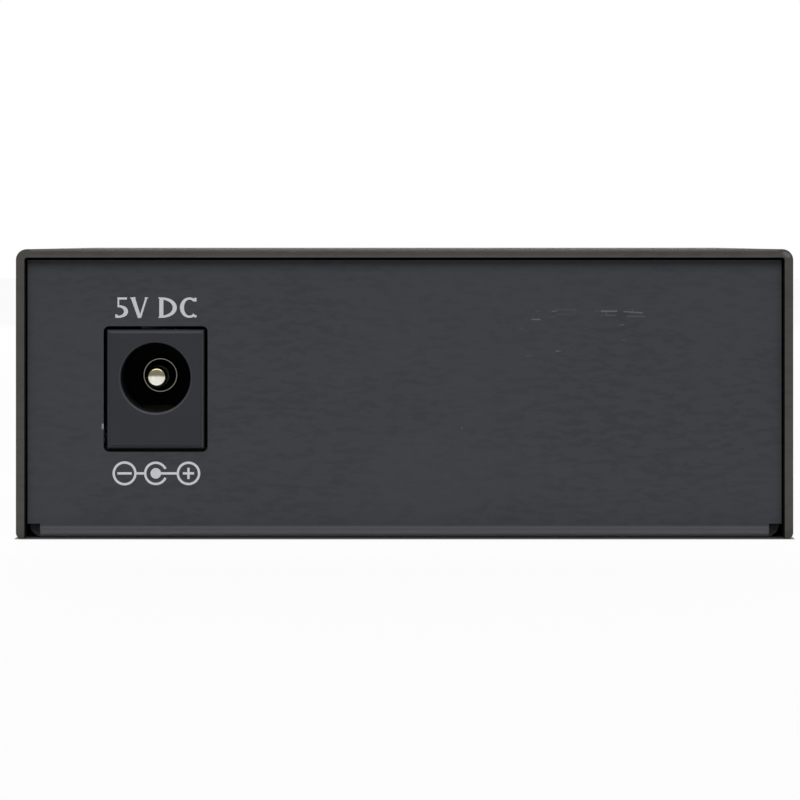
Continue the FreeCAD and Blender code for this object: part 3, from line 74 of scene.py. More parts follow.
# Tools for node trees
class Net:
    def __init__(self, tree):
        self.tree = tree
        tree.nodes.clear()

    def add(self, kind, **settings):
        node = self.tree.nodes.new(kind)
        for name, value in settings.items():
            setattr(node, name, value)
        return node

    def join(self, source, target):
        self.tree.links.new(source, target)

    def feed(self, target, value):
        if isinstance(value, bpy.types.NodeSocket):
            self.join(value, target)
        else:
            target.default_value = value

    # numbers are set on the node's own sockets, and other nodes' results are joined to them
    def fill(self, node, **values):
        for name, value in values.items():
            self.feed(node.inputs[name.replace("_", " ")], value)
        return node

    def calc(self, operation, first, second):
        node = self.add("ShaderNodeMath", operation=operation)
        self.feed(node.inputs[0], first)
        self.feed(node.inputs[1], second)
        return node.outputs[0]


# Tools for finishes
class Finish(Net):
    def __init__(self, name):
        self.material = bpy.data.materials.new(name)
        self.material.use_nodes = True
        super().__init__(self.material.node_tree)
        self.output = self.add("ShaderNodeOutputMaterial")
        self.shader = self.add("ShaderNodeBsdfPrincipled")
        self.join(self.shader.outputs["BSDF"], self.output.inputs["Surface"])
        self.place = self.add("ShaderNodeTexCoord").outputs["Object"]

    def surface(self, **values):
        self.fill(self.shader, **values)

    def vector(self, operation, first, second=None, result="Vector"):
        node = self.add("ShaderNodeVectorMath", operation=operation)
        self.join(first, node.inputs[0])
        if second is not None:
            node.inputs[1].default_value = second
        return node.outputs[result]

    # smooth step from low to high
    def span(self, value, low, high, start=0.0, end=1.0):
        node = self.add("ShaderNodeMapRange", interpolation_type="SMOOTHSTEP")
        self.fill(node, Value=value, From_Min=low, From_Max=high, To_Min=start, To_Max=end)
        return node.outputs["Result"]

    def mix(self, factor, first, second):
        node = self.add("ShaderNodeMix", data_type="RGBA")
        self.feed(node.inputs[0], factor)
        self.feed(node.inputs[6], first)
        self.feed(node.inputs[7], second)
        return node.outputs[2]

    # the place, in units of one pattern size, stretched by axis
    def scaled(self, size, stretch=(1, 1, 1)):
        node = self.add("ShaderNodeMapping", vector_type="TEXTURE")
        return self.fill(node, Vector=self.place, Scale=[size * s for s in stretch]).outputs["Vector"]

    def noise(self, size, detail, rough, stretch=(1, 1, 1)):
        node = self.add("ShaderNodeTexNoise")
        self.fill(node, Vector=self.scaled(size, stretch), Scale=1, Detail=detail, Roughness=rough)
        return node.outputs[0]

    # distance to the nearest border between irregular cells
    def cells(self, size):
        node = self.add("ShaderNodeTexVoronoi", feature="DISTANCE_TO_EDGE")
        return self.fill(node, Vector=self.scaled(size), Scale=1).outputs["Distance"]

    def apart(self, vector):
        node = self.add("ShaderNodeSeparateXYZ")
        self.join(vector, node.inputs[0])
        return node.outputs

    def axis(self, letter):
        return self.apart(self.place)[letter]

    # raised and sunk grain
    def bump(self, height, depth, strength):
        node = self.fill(self.add("ShaderNodeBump"), Strength=strength, Distance=depth, Height=height)
        self.join(node.outputs["Normal"], self.shader.inputs["Normal"])


# Finishes
panelTint = {
    "colour": srgb(60, 62, 66),
    "dark": srgb(55, 57, 61),
    "light": srgb(64, 66, 70),
    "roughness": 0.5,
    "sheen": 0.14,
}
coverTint = {
    "colour": srgb(81, 79, 75),
    "dark": srgb(76, 74, 70),
    "light": srgb(85, 83, 79),
    "roughness": 0.75,
    "sheen": 0.02,
}
# painted shade: the cover's inner faces are coloured darker than its outside
insideShadeTint = {
    "colour": srgb(44, 44, 46),
    "dark": srgb(38, 38, 40),
    "light": srgb(50, 50, 52),
    "roughness": 0.8,
    "sheen": 0.0,
}
powder = {
    # the colour of bare metal where the coat is rubbed or nicked, also laid as the painted highlights among
    # the marks
    "bare": srgb(150, 150, 152),
    # painted highlight along the lower bend of the power panel: its two colours, the lower one palest, and
    # the height it reaches
    "bend": srgb(98, 97, 102),
    "bendHighlightLow": srgb(156, 155, 160),
    "bendHighlightTop": 1.15 * mm,
    "cloud": 9 * mm,
    "grain": 0.5 * mm,
    "depth": 0.004 * mm,
}
# painted shade for the plastic inside the jack's bore
boreShadeTone = srgb(30, 30, 34)
# painted shade for the pin's part deep inside the bore
deepShadeTone = srgb(126, 123, 113)
# light marks rubbed on the power panel, and one painted highlight at the left end of its lower bend: each
# end as x and height, half thickness, strength
rubsAndBendHighlight = [
    (12.08, 20.89, 12.47, 20.89, 0.06, 0.09),
    (11.74, 20.12, 12.49, 20.12, 0.08, 0.27),
    (13.59, 20.88, 13.97, 20.88, 0.07, 0.25),
    (14.03, 21.00, 15.78, 21.00, 0.06, 0.09),
    (13.51, 20.37, 13.89, 20.37, 0.06, 0.11),
    (14.10, 20.59, 15.60, 20.59, 0.05, 0.05),
    (17.62, 20.88, 17.99, 20.88, 0.06, 0.10),
    (18.15, 20.88, 19.55, 20.88, 0.09, 0.34),
    (18.57, 20.50, 19.46, 20.50, 0.05, 0.20),
    (18.60, 20.50, 18.60, 20.75, 0.05, 0.16),
    (18.07, 20.50, 18.36, 20.50, 0.05, 0.08),
    (20.20, 20.84, 21.90, 20.73, 0.08, 0.28),
    (21.00, 20.78, 21.00, 21.10, 0.05, 0.18),
    (20.53, 20.41, 22.10, 20.41, 0.06, 0.16),
    (19.83, 19.61, 20.20, 19.61, 0.07, 0.20),
    (10.63, 19.30, 10.97, 19.30, 0.06, 0.09),
    (13.96, 17.20, 14.31, 17.20, 0.07, 0.25),
    (11.17, 16.78, 11.70, 16.78, 0.06, 0.09),
    (19.96, 18.20, 20.37, 18.20, 0.06, 0.09),
    (-27.79, 10.12, -27.79, 10.38, 0.16, 1.00),
    # painted highlight on the left end of the lower bend
    (-34.05, 0.35, -34.05, 0.85, 0.14, 0.26),
    (5.28, 10.10, 5.32, 10.10, 0.07, 0.23),
]
# painted highlights along the top and inner edges of the cover's front, and pale nicked places on it,
# written the same way
edgeNicksAndHighlights = [
    # painted highlight along the rounded top edge
    (-34.3, 26.56, 34.3, 26.56, 0.20, 0.24),
    # painted highlight along the inner edge of the top
    (-34.4, 25.92, 34.4, 25.92, 0.14, 0.06),
    (-10.6, 26.38, -10.0, 26.38, 0.06, 0.20),
    (-8.4, 26.42, -7.8, 26.42, 0.05, 0.23),
    (-2.2, 26.40, -1.6, 26.40, 0.05, 0.20),
    (34.98, 26.22, 35.32, 25.98, 0.24, 0.34),
    (34.78, 7.65, 34.82, 7.75, 0.11, 0.32),
]


# marks lie on the faces before front, and a bent sheet is painted paler along its lower bend, a painted
# highlight of the light the bend catches from the floor
def powderCoat(name, tint, marks=None, front=0.0, bent=False):
    finish = Finish(name)
    grain = finish.noise(powder["grain"], 3, 0.55, (3, 3, 1))
    fine = finish.noise(powder["grain"] / 4, 2, 0.5)
    cloud = finish.noise(powder["cloud"], 3, 0.6, (1.6, 1.6, 1))
    tone = finish.mix(finish.span(grain, 0.36, 0.56), tint["dark"], tint["colour"])
    tone = finish.mix(finish.span(cloud, 0.35, 0.75, 0, 0.6), tone, tint["light"])
    # painted highlight: the lower bend is coloured paler, palest near the bottom
    if bent:
        level, bend = finish.axis("Z"), powder["bendHighlightTop"]
        paintedBendHighlight = finish.span(level, bend - 0.25 * mm, bend + 0.05 * mm, 1, 0)
        lower = finish.span(level, bend * 0.2, bend * 0.75, 1, 0)
        tone = finish.mix(paintedBendHighlight, tone, finish.mix(lower, powder["bend"], powder["bendHighlightLow"]))
    if marks:
        tone = finish.mix(markMask(finish, marks, front), tone, powder["bare"])
    roughness = finish.span(fine, 0.2, 0.8, tint["roughness"] - 0.04, tint["roughness"] + 0.06)
    finish.surface(Base_Color=tone, Roughness=roughness, Specular_IOR_Level=tint["sheen"])
    finish.bump(grain, powder["depth"], 0.5)
    return finish.material


# lines with soft edges, on the faces that lie before front
def markMask(finish, marks, front):
    ragged = finish.noise(0.3 * mm, 2, 0.6)
    total = None
    for startX, startZ, endX, endZ, thickness, strength in marks:
        half = math.hypot(endX - startX, endZ - startZ) / 2
        local = finish.add("ShaderNodeMapping", vector_type="TEXTURE")
        middle = ((startX + endX) / 2 * mm, 0, (startZ + endZ) / 2 * mm)
        lean = -math.atan2(endZ - startZ, endX - startX)
        finish.fill(local, Vector=finish.place, Location=middle, Rotation=(0, lean, 0))
        beyond = finish.vector("ABSOLUTE", local.outputs["Vector"])
        beyond = finish.vector("SUBTRACT", beyond, (half * mm, 0, 0))
        beyond = finish.vector("MULTIPLY", finish.vector("MAXIMUM", beyond, (0, 0, 0)), (1, 0, 1))
        reach = finish.vector("LENGTH", beyond, result="Value")
        reach = finish.calc("ADD", reach, finish.calc("MULTIPLY", ragged, -0.4 * thickness * mm))
        mark = finish.span(reach, 0, thickness * mm, strength, 0)
        total = mark if total is None else finish.calc("MAXIMUM", total, mark)
    return finish.calc("MULTIPLY", total, finish.calc("LESS_THAN", finish.axis("Y"), front))


# painted highlight: the strip along the outline of a moulding's front, and round the mouth of its bore
def rimMask(finish, edgeHighlights):
    beyond = finish.vector("ABSOLUTE", finish.vector("SUBTRACT", finish.place, edgeHighlights["middle"]))
    parts = finish.apart(finish.vector("SUBTRACT", beyond, edgeHighlights["half"]))
    outline = finish.calc("MAXIMUM", parts["X"], parts["Z"])
    spread = finish.vector("MULTIPLY", finish.vector("SUBTRACT", finish.place, edgeHighlights["axis"]), (1, 0, 1))
    reach = finish.vector("LENGTH", spread, result="Value")
    edge = finish.span(outline, -edgeHighlights["strip"] - edgeHighlights["fade"], -edgeHighlights["strip"])
    mouth = finish.span(reach, edgeHighlights["mouth"], edgeHighlights["mouth"] + edgeHighlights["fade"], 0.7, 0)
    return finish.calc("MAXIMUM", edge, mouth)


# rims are painted highlights in a lighter colour, and behind hollow, a place along Y, the plastic is painted
# dark, as painted shade inside a bore
def mouldedPlastic(name, colour, mottled, roughness, grain=0.14 * mm, depth=0.006 * mm, boreShadeStart=None, edgeHighlights=None):
    finish = Finish(name)
    spark = finish.noise(grain, 2, 0.6)
    cloud = finish.noise(2.5 * mm, 2, 0.6)
    tone = finish.mix(finish.span(cloud, 0.3, 0.8, 0, 0.3), colour, mottled)
    tone = finish.mix(finish.span(spark, 0.6, 0.8, 0, 0.3), tone, mottled)
    shine = 0.25
    if edgeHighlights is not None:
        tone = finish.mix(rimMask(finish, edgeHighlights), tone, edgeHighlights["colour"])
    # painted shade: the plastic inside the bore is coloured near black
    if boreShadeStart is not None:
        place, end = finish.axis("Y"), boreShadeStart + 0.3 * mm
        tone = finish.mix(finish.span(place, boreShadeStart, end), tone, boreShadeTone)
        shine = finish.span(place, boreShadeStart, end, shine, 0.02)
    finish.surface(
        Base_Color=tone,
        Roughness=finish.span(spark, 0.2, 0.8, roughness - 0.06, roughness + 0.08),
        Specular_IOR_Level=shine,
    )
    finish.bump(spark, depth, 0.5)
    return finish.material


# turned or rolled metal: fine lines along or round the piece
# above the height level the piece is painted darker, a painted reflection of the dark surroundings its top
# half faces, and behind deep, a place along Y, it is painted darker, as painted shade deep in a bore
def brightMetal(name, colour, stainAndShade, roughness, lines=(1, 0.04, 1), level=None, deep=None):
    finish = Finish(name)
    drawn = finish.noise(0.25 * mm, 3, 0.6, lines)
    stain = finish.noise(1.6 * mm, 3, 0.6)
    tone = finish.mix(finish.span(stain, 0.4, 0.8, 0, 0.6), colour, stainAndShade)
    if level is not None:
        # painted reflection: the pin's top half is coloured darker
        mottled = finish.calc("ADD", finish.axis("Z"), finish.calc("MULTIPLY", stain, 0.3 * mm))
        tone = finish.mix(finish.span(mottled, level, level + 0.25 * mm), tone, stainAndShade)
    if deep is not None:
        tone = finish.mix(finish.span(finish.axis("Y"), deep, deep + 2 * mm), tone, deepShadeTone)
    shine = finish.span(drawn, 0.25, 0.75, roughness - 0.07, roughness + 0.1)
    finish.surface(Base_Color=tone, Metallic=1.0, Roughness=shine)
    finish.bump(drawn, 0.003 * mm, 0.5)
    return finish.material


boardLook = {
    "mask": srgb(14, 74, 40),
    "bare": srgb(20, 92, 50),
    "track": srgb(36, 116, 66),
    "pitch": 1.6 * mm,
    "spread": 2.2,
}


def solderMask(name):
    finish = Finish(name)
    block = finish.cells(boardLook["pitch"] * boardLook["spread"])
    lane = finish.add("ShaderNodeTexWave", wave_type="BANDS", bands_direction="X")
    finish.fill(lane, Vector=finish.scaled(boardLook["pitch"]), Scale=1, Distortion=0)
    zone = finish.span(finish.noise(11 * mm, 1, 0.5), 0.48, 0.54)
    raised = finish.mix(zone, finish.span(block, 0.04, 0.07), finish.span(lane.outputs["Fac"], 0.45, 0.6))
    weave = finish.noise(0.3 * mm, 1, 0.5)
    tone = finish.mix(raised, boardLook["mask"], boardLook["track"])
    tone = finish.mix(finish.span(weave, 0.4, 0.7, 0, 0.25), tone, boardLook["bare"])
    finish.surface(Base_Color=tone, Roughness=finish.span(weave, 0.2, 0.8, 0.22, 0.34), Coat_Weight=0.3)
    finish.bump(raised, 0.03 * mm, 0.5)
    return finish.material


def printedInk(name, colour, thin):
    finish = Finish(name)
    cover = finish.noise(0.12 * mm, 3, 0.65)
    tone = finish.mix(finish.span(cover, 0.52, 0.75, 0, 0.5), colour, thin)
    finish.surface(Base_Color=tone, Roughness=finish.span(cover, 0.2, 0.8, 0.5, 0.7))
    finish.bump(cover, 0.004 * mm, 0.4)
    return finish.material


def tintedLens(name, colour, deep):
    finish = Finish(name)
    haze = finish.noise(1.2 * mm, 2, 0.5)
    tone = finish.mix(finish.span(haze, 0.2, 0.8), colour, deep)
    finish.surface(
        Base_Color=tone,
        Roughness=finish.span(haze, 0.2, 0.8, 0.18, 0.3),
        Transmission_Weight=0.55,
        IOR=1.5,
    )
    finish.bump(haze, 0.004 * mm, 0.3)
    return finish.material


def glazedCeramic(name, colour, shade):
    finish = Finish(name)
    cloud = finish.noise(0.5 * mm, 3, 0.6)
    finish.surface(
        Base_Color=finish.mix(finish.span(cloud, 0.35, 0.75), colour, shade),
        Roughness=finish.span(cloud, 0.2, 0.8, 0.16, 0.3),
    )
    finish.bump(cloud, 0.002 * mm, 0.4)
    return finish.material


# marks reach no further back than these places along Y
panelDepth = cadLow.y + 1.4 * mm
edgeDepth = cadLow.y + 0.2 * mm
jackLow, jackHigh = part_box("power_jack_body")
pinLow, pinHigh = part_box("power_jack_pin")
jackFace = jackLow.y
jackAxis = (pinLow.z + pinHigh.z) / 2
# painted highlight strips along the jack face's outline and round its bore's mouth
jackEdgeHighlights = {
    "colour": srgb(70, 71, 76),
    "middle": (jackLow + jackHigh) / 2,
    "half": (jackHigh - jackLow) / 2,
    "axis": ((jackLow.x + jackHigh.x) / 2, 0, jackAxis),
    "strip": 0.2 * mm,
    "mouth": 3.34 * mm,
    "fade": 0.08 * mm,
}
upright = (1, 1, 0.05)
looks = {
    "powder_coated_steel": powderCoat("powderCoat", panelTint),
    # the power panel, with a painted highlight along its lower bend
    "panel": powderCoat("powderCoatPanel", panelTint, rubsAndBendHighlight, panelDepth, True),
    # the cover, with pale nicked places and painted highlights along its front edge
    "rim": powderCoat("powderCoatRim", coverTint, edgeNicksAndHighlights, edgeDepth),
    "cover_inside": powderCoat("powderCoatInside", insideShadeTint),
    "plated_screw": brightMetal("blackZincScrew", srgb(70, 70, 72), srgb(52, 52, 54), 0.38, (1, 1, 1)),
    "zinc_screw": brightMetal("brightZincScrew", srgb(205, 205, 200), srgb(170, 172, 168), 0.28, upright),
    "brass_standoff": brightMetal("turnedBrass", srgb(212, 176, 98), srgb(176, 140, 74), 0.26, upright),
    "board_laminate": solderMask("solderMask"),
    "black_plastic": mouldedPlastic("blackPlastic", srgb(45, 45, 49), srgb(58, 58, 62), 0.42),
    # the jack's plastic, with painted highlights on its edges and painted shade in its bore
    "jack_plastic": mouldedPlastic(
        "jackPlastic", srgb(34, 35, 40), srgb(42, 43, 48), 0.42, boreShadeStart=jackFace + 0.05 * mm, edgeHighlights=jackEdgeHighlights
    ),
    # painted shade: the board's edges are coloured darker than bare laminate
    "board_edge": mouldedPlastic("laminateEdge", srgb(34, 30, 20), srgb(46, 42, 30), 0.7),
    # painted shade: the jack's spring and switch contacts are coloured dark, so they read as shade where
    # they show through the window's gap
    "dark_contact": brightMetal("tarnishedContact", srgb(72, 66, 54), srgb(44, 40, 32), 0.5),
    # the pin is painted darker on its top half, as a painted reflection, and deep in the bore, as painted
    # shade
    "pin_plate": brightMetal(
        "pinPlate",
        srgb(238, 236, 226),
        srgb(120, 114, 92),
        0.16,
        level=jackAxis + 0.1 * mm,
        deep=jackFace + 4 * mm,
    ),
    "nickel_contact": brightMetal("nickelPlate", srgb(206, 200, 184), srgb(170, 158, 128), 0.2),
    "gold_contact": brightMetal("goldPlate", srgb(226, 184, 96), srgb(196, 152, 74), 0.18),
    "shield_steel": brightMetal("tinnedSteel", srgb(196, 195, 191), srgb(160, 160, 157), 0.3, (1, 0.06, 1)),
    "blue_plastic": mouldedPlastic("bluePlastic", srgb(24, 82, 156), srgb(44, 100, 170), 0.4),
    "ceramic_sleeve": glazedCeramic("ceramicSleeve", srgb(236, 233, 224), srgb(216, 212, 200)),
    "clear_green_lens": tintedLens("greenLens", srgb(120, 200, 130), srgb(90, 176, 104)),
    "red_plastic": mouldedPlastic("redPlastic", srgb(164, 34, 34), srgb(184, 58, 54), 0.4),
    "white_plastic": mouldedPlastic("whitePlastic", srgb(226, 226, 220), srgb(204, 204, 196), 0.42),
    "chip_epoxy": mouldedPlastic("chipEpoxy", srgb(36, 36, 38), srgb(56, 56, 58), 0.55, 0.08 * mm),
    "can_sleeve": mouldedPlastic("canSleeve", srgb(14, 15, 19), srgb(21, 22, 27), 0.6),
    "can_aluminium": brightMetal(
        "drawnAluminium", srgb(206, 207, 209), srgb(176, 178, 181), 0.3, (1, 1, 0.08)
    ),
    "ferrite": mouldedPlastic("ferrite", srgb(62, 62, 64), srgb(80, 80, 82), 0.6, 0.1 * mm, 0.012 * mm),
    "ink": printedInk("paleInk", srgb(206, 208, 211), srgb(166, 169, 174)),
}
slotOf = {part["node"]: part["material_slot"] for part in frame["record"]["subparts"]}
print("finishes made:", len(looks))


# Tools for meshes
def newObject(name, data):
    thing = bpy.data.objects.new(name, data)
    bpy.context.scene.collection.objects.link(thing)
    return thing


# the drawn shape as a piece of its own
def newPiece(name, shape, look):
    mesh = bpy.data.meshes.new(name)
    shape.to_mesh(mesh)
    shape.free()
    mesh.materials.append(looks[look])
    return newObject(name, mesh)


# turns live modifiers into a plain mesh
def settle(piece):
    evaluated = piece.evaluated_get(bpy.context.evaluated_depsgraph_get())
    mesh = bpy.data.meshes.new_from_object(evaluated)
    piece.modifiers.clear()
    piece.data = mesh


def cutAway(piece, cutter):
    cut = piece.modifiers.new("cut", "BOOLEAN")
    cut.object = cutter
    cut.solver = "EXACT"
    bpy.context.view_layer.update()
    settle(piece)
    bpy.data.objects.remove(cutter)


def smoothFaces(piece, angle=32):
    piece.data.shade_smooth()
    piece.data.set_sharp_from_angle(angle=math.radians(angle))


def roundEdges(piece, size, segments=3, angle=32):
    edge = piece.modifiers.new("roundEdges", "BEVEL")
    edge.width = size
    edge.segments = segments
    edge.limit_method = "ANGLE"
    edge.angle_limit = math.radians(angle)
    edge.use_clamp_overlap = True
    settle(piece)
    smoothFaces(piece, angle)
    # large faces keep their own flat shading beside the rounded edges
    flat = piece.modifiers.new("flatFaces", "WEIGHTED_NORMAL")
    flat.keep_sharp = True
    settle(piece)


# rounding noise on the outer faces stays inside the case's own size
def keepWithin(piece):
    for vertex in piece.data.vertices:
        vertex.co = [min(max(vertex.co[i], cadLow[i]), cadHigh[i]) for i in range(3)]


# the piece takes its solid's place and rides the body
def seat(piece, node, body="root"):
    keepWithin(piece)
    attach(piece, body)
    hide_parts(node)


# a copy of a solid with merged corners and flat faces made whole, ready for rounded edges
def wholeCopy(name, node, look):
    shape = bmesh.new()
    shape.from_mesh(nodes[node].data)
    bmesh.ops.remove_doubles(shape, verts=shape.verts, dist=2e-6)
    bmesh.ops.dissolve_limit(shape, angle_limit=math.radians(0.6), verts=shape.verts, edges=shape.edges)
    return newPiece(name, shape, look)


def roundedCopy(name, node, look, size, segments=2, body="root"):
    piece = wholeCopy(name, node, look)
    roundEdges(piece, size, segments)
    seat(piece, node, body)


# a shape turned about an axis through centre; profile is (radius, place along the axis) in millimetres
def turned(name, profile, centre, axis, look, steps):
    turn = Vector((0, 0, 1)).rotation_difference(Vector(axis)).to_matrix().to_4x4()
    shape = bmesh.new()
    points = [shape.verts.new((radius * mm, 0, along * mm)) for radius, along in profile]
    edges = [shape.edges.new(pair) for pair in zip(points, points[1:])]
    line = points + edges
    bmesh.ops.spin(
        shape, geom=line, cent=(0, 0, 0), axis=(0, 0, 1), angle=math.tau, steps=steps, use_merge=True
    )
    bmesh.ops.remove_doubles(shape, verts=shape.verts, dist=1e-7)
    bmesh.ops.recalc_face_normals(shape, faces=shape.faces)
    shape.transform(Matrix.Translation(centre) @ turn)
    piece = newPiece(name, shape, look)
    smoothFaces(piece, 40)
    return piece


def arcPoints(centre, radius, start, end, steps):
    for step in range(steps + 1):
        angle = math.radians(start + (end - start) * step / steps)
        yield centre[0] + radius * math.cos(angle), centre[1] + radius * math.sin(angle)


# Case
case = {
    "coverSheet": 0.8 * mm,
    "outerBend": 1.0 * mm,
    "innerBend": 0.2 * mm,
    "footRound": 0.5 * mm,
    "coverEdge": 0.13 * mm,
    "trayEdge": 0.09 * mm,
    "panelHalf": 34.7 * mm,
    "sideFit": 0.02 * mm,
    "portDepth": 2 * mm,
    "bendSteps": 14,
    "slotCount": 12,
    "slotPitch": 3.4 * mm,
    "slotWidth": 1.4 * mm,
    "slotLength": 9.0 * mm,
    "slotHeight": 16.5 * mm,
    "slotOver": 4 * mm,
    "screwInset": 13.0 * mm,
    "screwFit": 0.08 * mm,
}


def closedProfile(name, outline, start, end, look):
    shape = bmesh.new()
    face = shape.faces.new([shape.verts.new((x, start, z)) for x, z in outline])
    grown = bmesh.ops.extrude_face_region(shape, geom=[face])
    moved = [item for item in grown["geom"] if isinstance(item, bmesh.types.BMVert)]
    bmesh.ops.translate(shape, verts=moved, vec=(0, end - start, 0))
    bmesh.ops.recalc_face_normals(shape, faces=shape.faces)
    return newPiece(name, shape, look)


def coverOutline():
    half, top, sheet, steps = cadHigh.x, cadHigh.z, case["coverSheet"], case["bendSteps"]
    outer, inner, foot = case["outerBend"], case["innerBend"], case["footRound"]
    within = half - sheet
    right = [(within, 0)]
    right += list(arcPoints((half - foot, foot), foot, -90, 0, 8))
    right += list(arcPoints((half - outer, top - outer), outer, 0, 90, steps))
    left = [(-x, z) for x, z in reversed(right)]
    ceiling = list(arcPoints((within - inner, top - sheet - inner), inner, 0, 90, 6))
    return right + left + [(-x, z) for x, z in ceiling] + list(reversed(ceiling))


# Node trees for what repeats
class Tree(Net):
    def __init__(self, name, **inputs):
        super().__init__(bpy.data.node_groups.new(name, "GeometryNodeTree"))
        self.tree.interface.new_socket("Shape", in_out="INPUT", socket_type="NodeSocketGeometry")
        self.tree.interface.new_socket("Shape", in_out="OUTPUT", socket_type="NodeSocketGeometry")
        for label, kind in inputs.items():
            self.tree.interface.new_socket(label, in_out="INPUT", socket_type="NodeSocket" + kind)
        self.source = self.add("NodeGroupInput").outputs
        self.result = self.add("NodeGroupOutput").inputs

    def vector(self, **parts):
        return self.fill(self.add("ShaderNodeCombineXYZ"), **parts).outputs[0]

    # the last two nodes of every tree
    def finish(self, shape):
        real = self.fill(self.add("GeometryNodeRealizeInstances"), Geometry=shape)
        painted = self.fill(
            self.add("GeometryNodeSetMaterial"), Geometry=real.outputs[0], Material=self.source["Look"]
        )
        self.join(painted.outputs[0], self.result[0])
        return self.tree


def applyTree(piece, tree, look, **values):
    modifier = piece.modifiers.new(tree.name, "NODES")
    modifier.node_group = tree
    values["Look"] = looks[look]
    for item in tree.interface.items_tree:
        if item.item_type == "SOCKET" and item.in_out == "INPUT" and item.name in values:
            modifier[item.identifier] = values[item.name]
    settle(piece)


# copies of a shape along a line
def addRow(tree, shape, start, step):
    line = tree.add("GeometryNodeMeshLine", mode="OFFSET")
    tree.fill(line, Count=tree.source["Count"], Start_Location=start, Offset=step)
    copies = tree.add("GeometryNodeInstanceOnPoints")
    return tree.fill(copies, Points=line.outputs[0], Instance=shape).outputs[0]


# a row of copies of the shape that comes in
def rowTree():
    tree = Tree("row", Count="Int", Step="Vector", Start="Vector", Look="Material")
    return tree.finish(addRow(tree, tree.source["Shape"], tree.source["Start"], tree.source["Step"]))


# four copies at the corners of a rectangle, the pair on the left turned about Z by the angle
def cornersTree():
    tree = Tree("corners", Width="Float", Length="Float", Centre="Vector", Turned="Float", Look="Material")
    grid = tree.add("GeometryNodeMeshGrid")
    tree.fill(grid, Size_X=tree.source["Width"], Size_Y=tree.source["Length"], Vertices_X=2, Vertices_Y=2)
    moved = tree.add("GeometryNodeTransform")
    tree.fill(moved, Geometry=grid.outputs["Mesh"], Translation=tree.source["Centre"])
    place = tree.add("GeometryNodeInputPosition")
    apart = tree.fill(tree.add("ShaderNodeSeparateXYZ"), Vector=place.outputs[0])
    half = tree.calc("MULTIPLY", tree.calc("LESS_THAN", apart.outputs["X"], 0), tree.source["Turned"])
    turn = tree.fill(tree.add("FunctionNodeEulerToRotation"), Euler=tree.vector(Z=half))
    copies = tree.add("GeometryNodeInstanceOnPoints")
    shape = tree.source["Shape"]
    tree.fill(copies, Points=moved.outputs[0], Instance=shape, Rotation=turn.outputs[0])
    return tree.finish(copies.outputs[0])


# cuts a row of upright slots through both sides of the shape that comes in
def slottedTree():
    tree = Tree("slotted", Count="Int", Pitch="Float", Slot="Vector", First="Vector", Look="Material")
    cutter = tree.fill(tree.add("GeometryNodeMeshCube"), Size=tree.source["Slot"])
    step = tree.vector(Y=tree.source["Pitch"])
    cutters = addRow(tree, cutter.outputs["Mesh"], tree.source["First"], step)
    real = tree.fill(tree.add("GeometryNodeRealizeInstances"), Geometry=cutters)
    cut = tree.add("GeometryNodeMeshBoolean", operation="DIFFERENCE", solver="EXACT")
    tree.join(tree.source["Shape"], cut.inputs["Mesh 1"])
    tree.join(real.outputs[0], cut.inputs["Mesh 2"])
    return tree.finish(cut.outputs["Mesh"])


trees = {"row": rowTree(), "corners": cornersTree(), "slotted": slottedTree()}
print("node trees made:", len(trees))


def buildCover():
    cover = closedProfile("coverShell", coverOutline(), cadLow.y, cadHigh.y, "rim")
    first = -(case["slotCount"] - 1) * case["slotPitch"] / 2
    applyTree(
        cover,
        trees["slotted"],
        "rim",
        Count=case["slotCount"],
        Pitch=case["slotPitch"],
        Slot=(2 * cadHigh.x + case["slotOver"], case["slotWidth"], case["slotLength"]),
        First=(0, first, case["slotHeight"]),
    )
    cutCountersinks(cover)
    roundEdges(cover, case["coverEdge"], 3)
    darkenInside(cover.data)
    seat(cover, "top_cover")


# the cover's inner faces are painted darker, as painted shade inside the case, and stay dull
def darkenInside(mesh):
    mesh.materials.append(looks["cover_inside"])
    for face in mesh.polygons:
        sideways = face.normal.x * math.copysign(1, face.center.x) < -0.5
        below = face.normal.z < -0.5 and face.center.z > cadHigh.z / 2
        face.material_index = 1 if sideways or below else 0


def cutCountersinks(cover):
    low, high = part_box("cover_screws")
    wide, level = (high.z - low.z) / 2 + case["screwFit"], (high.z + low.z) / 2
    sheet, extra = case["coverSheet"], 0.3 * mm
    for side in (-1, 1):
        for end in (-1, 1):
            x = side * (cadHigh.x - sheet / 2)
            y = end * (cadHigh.y - case["screwInset"])
            bpy.ops.mesh.primitive_cone_add(
                vertices=48,
                radius1=wide - sheet - extra,
                radius2=wide + extra,
                depth=sheet + 2 * extra,
                location=(x, y, level),
                rotation=(0, side * math.pi / 2, 0),
            )
            cutAway(cover, bpy.context.object)


# the port panel is made wider, so that it closes the gaps at its sides
def buildTray():
    tray = wholeCopy("foldedTray", "base_tray", "panel")
    side = cadHigh.x - case["coverSheet"] - case["sideFit"]
    for vertex in tray.data.vertices:
        if vertex.co.y > cadHigh.y - case["portDepth"] and abs(vertex.co.x) > case["panelHalf"]:
            vertex.co.x = math.copysign(side, vertex.co.x)
    roundEdges(tray, case["trayEdge"], 2)
    seat(tray, "base_tray")


buildCover()
buildTray()
print("case made")


# Screws and standoffs
screw = {
    "shankRadius": 1.5,
    "flatLength": 4.0,
    "panRise": 1.9,
    "panRadius": 2.7,
    "boardLength": 6.0,
    "domeRound": 0.9,
    "chamfer": 0.2,
    "recessSpan": 2.7 * mm,
    "recessWidth": 0.55 * mm,
    "recessDepth": 0.9 * mm,
    "sink": 0.05 * mm,
    "standoffEdge": 0.12 * mm,
}


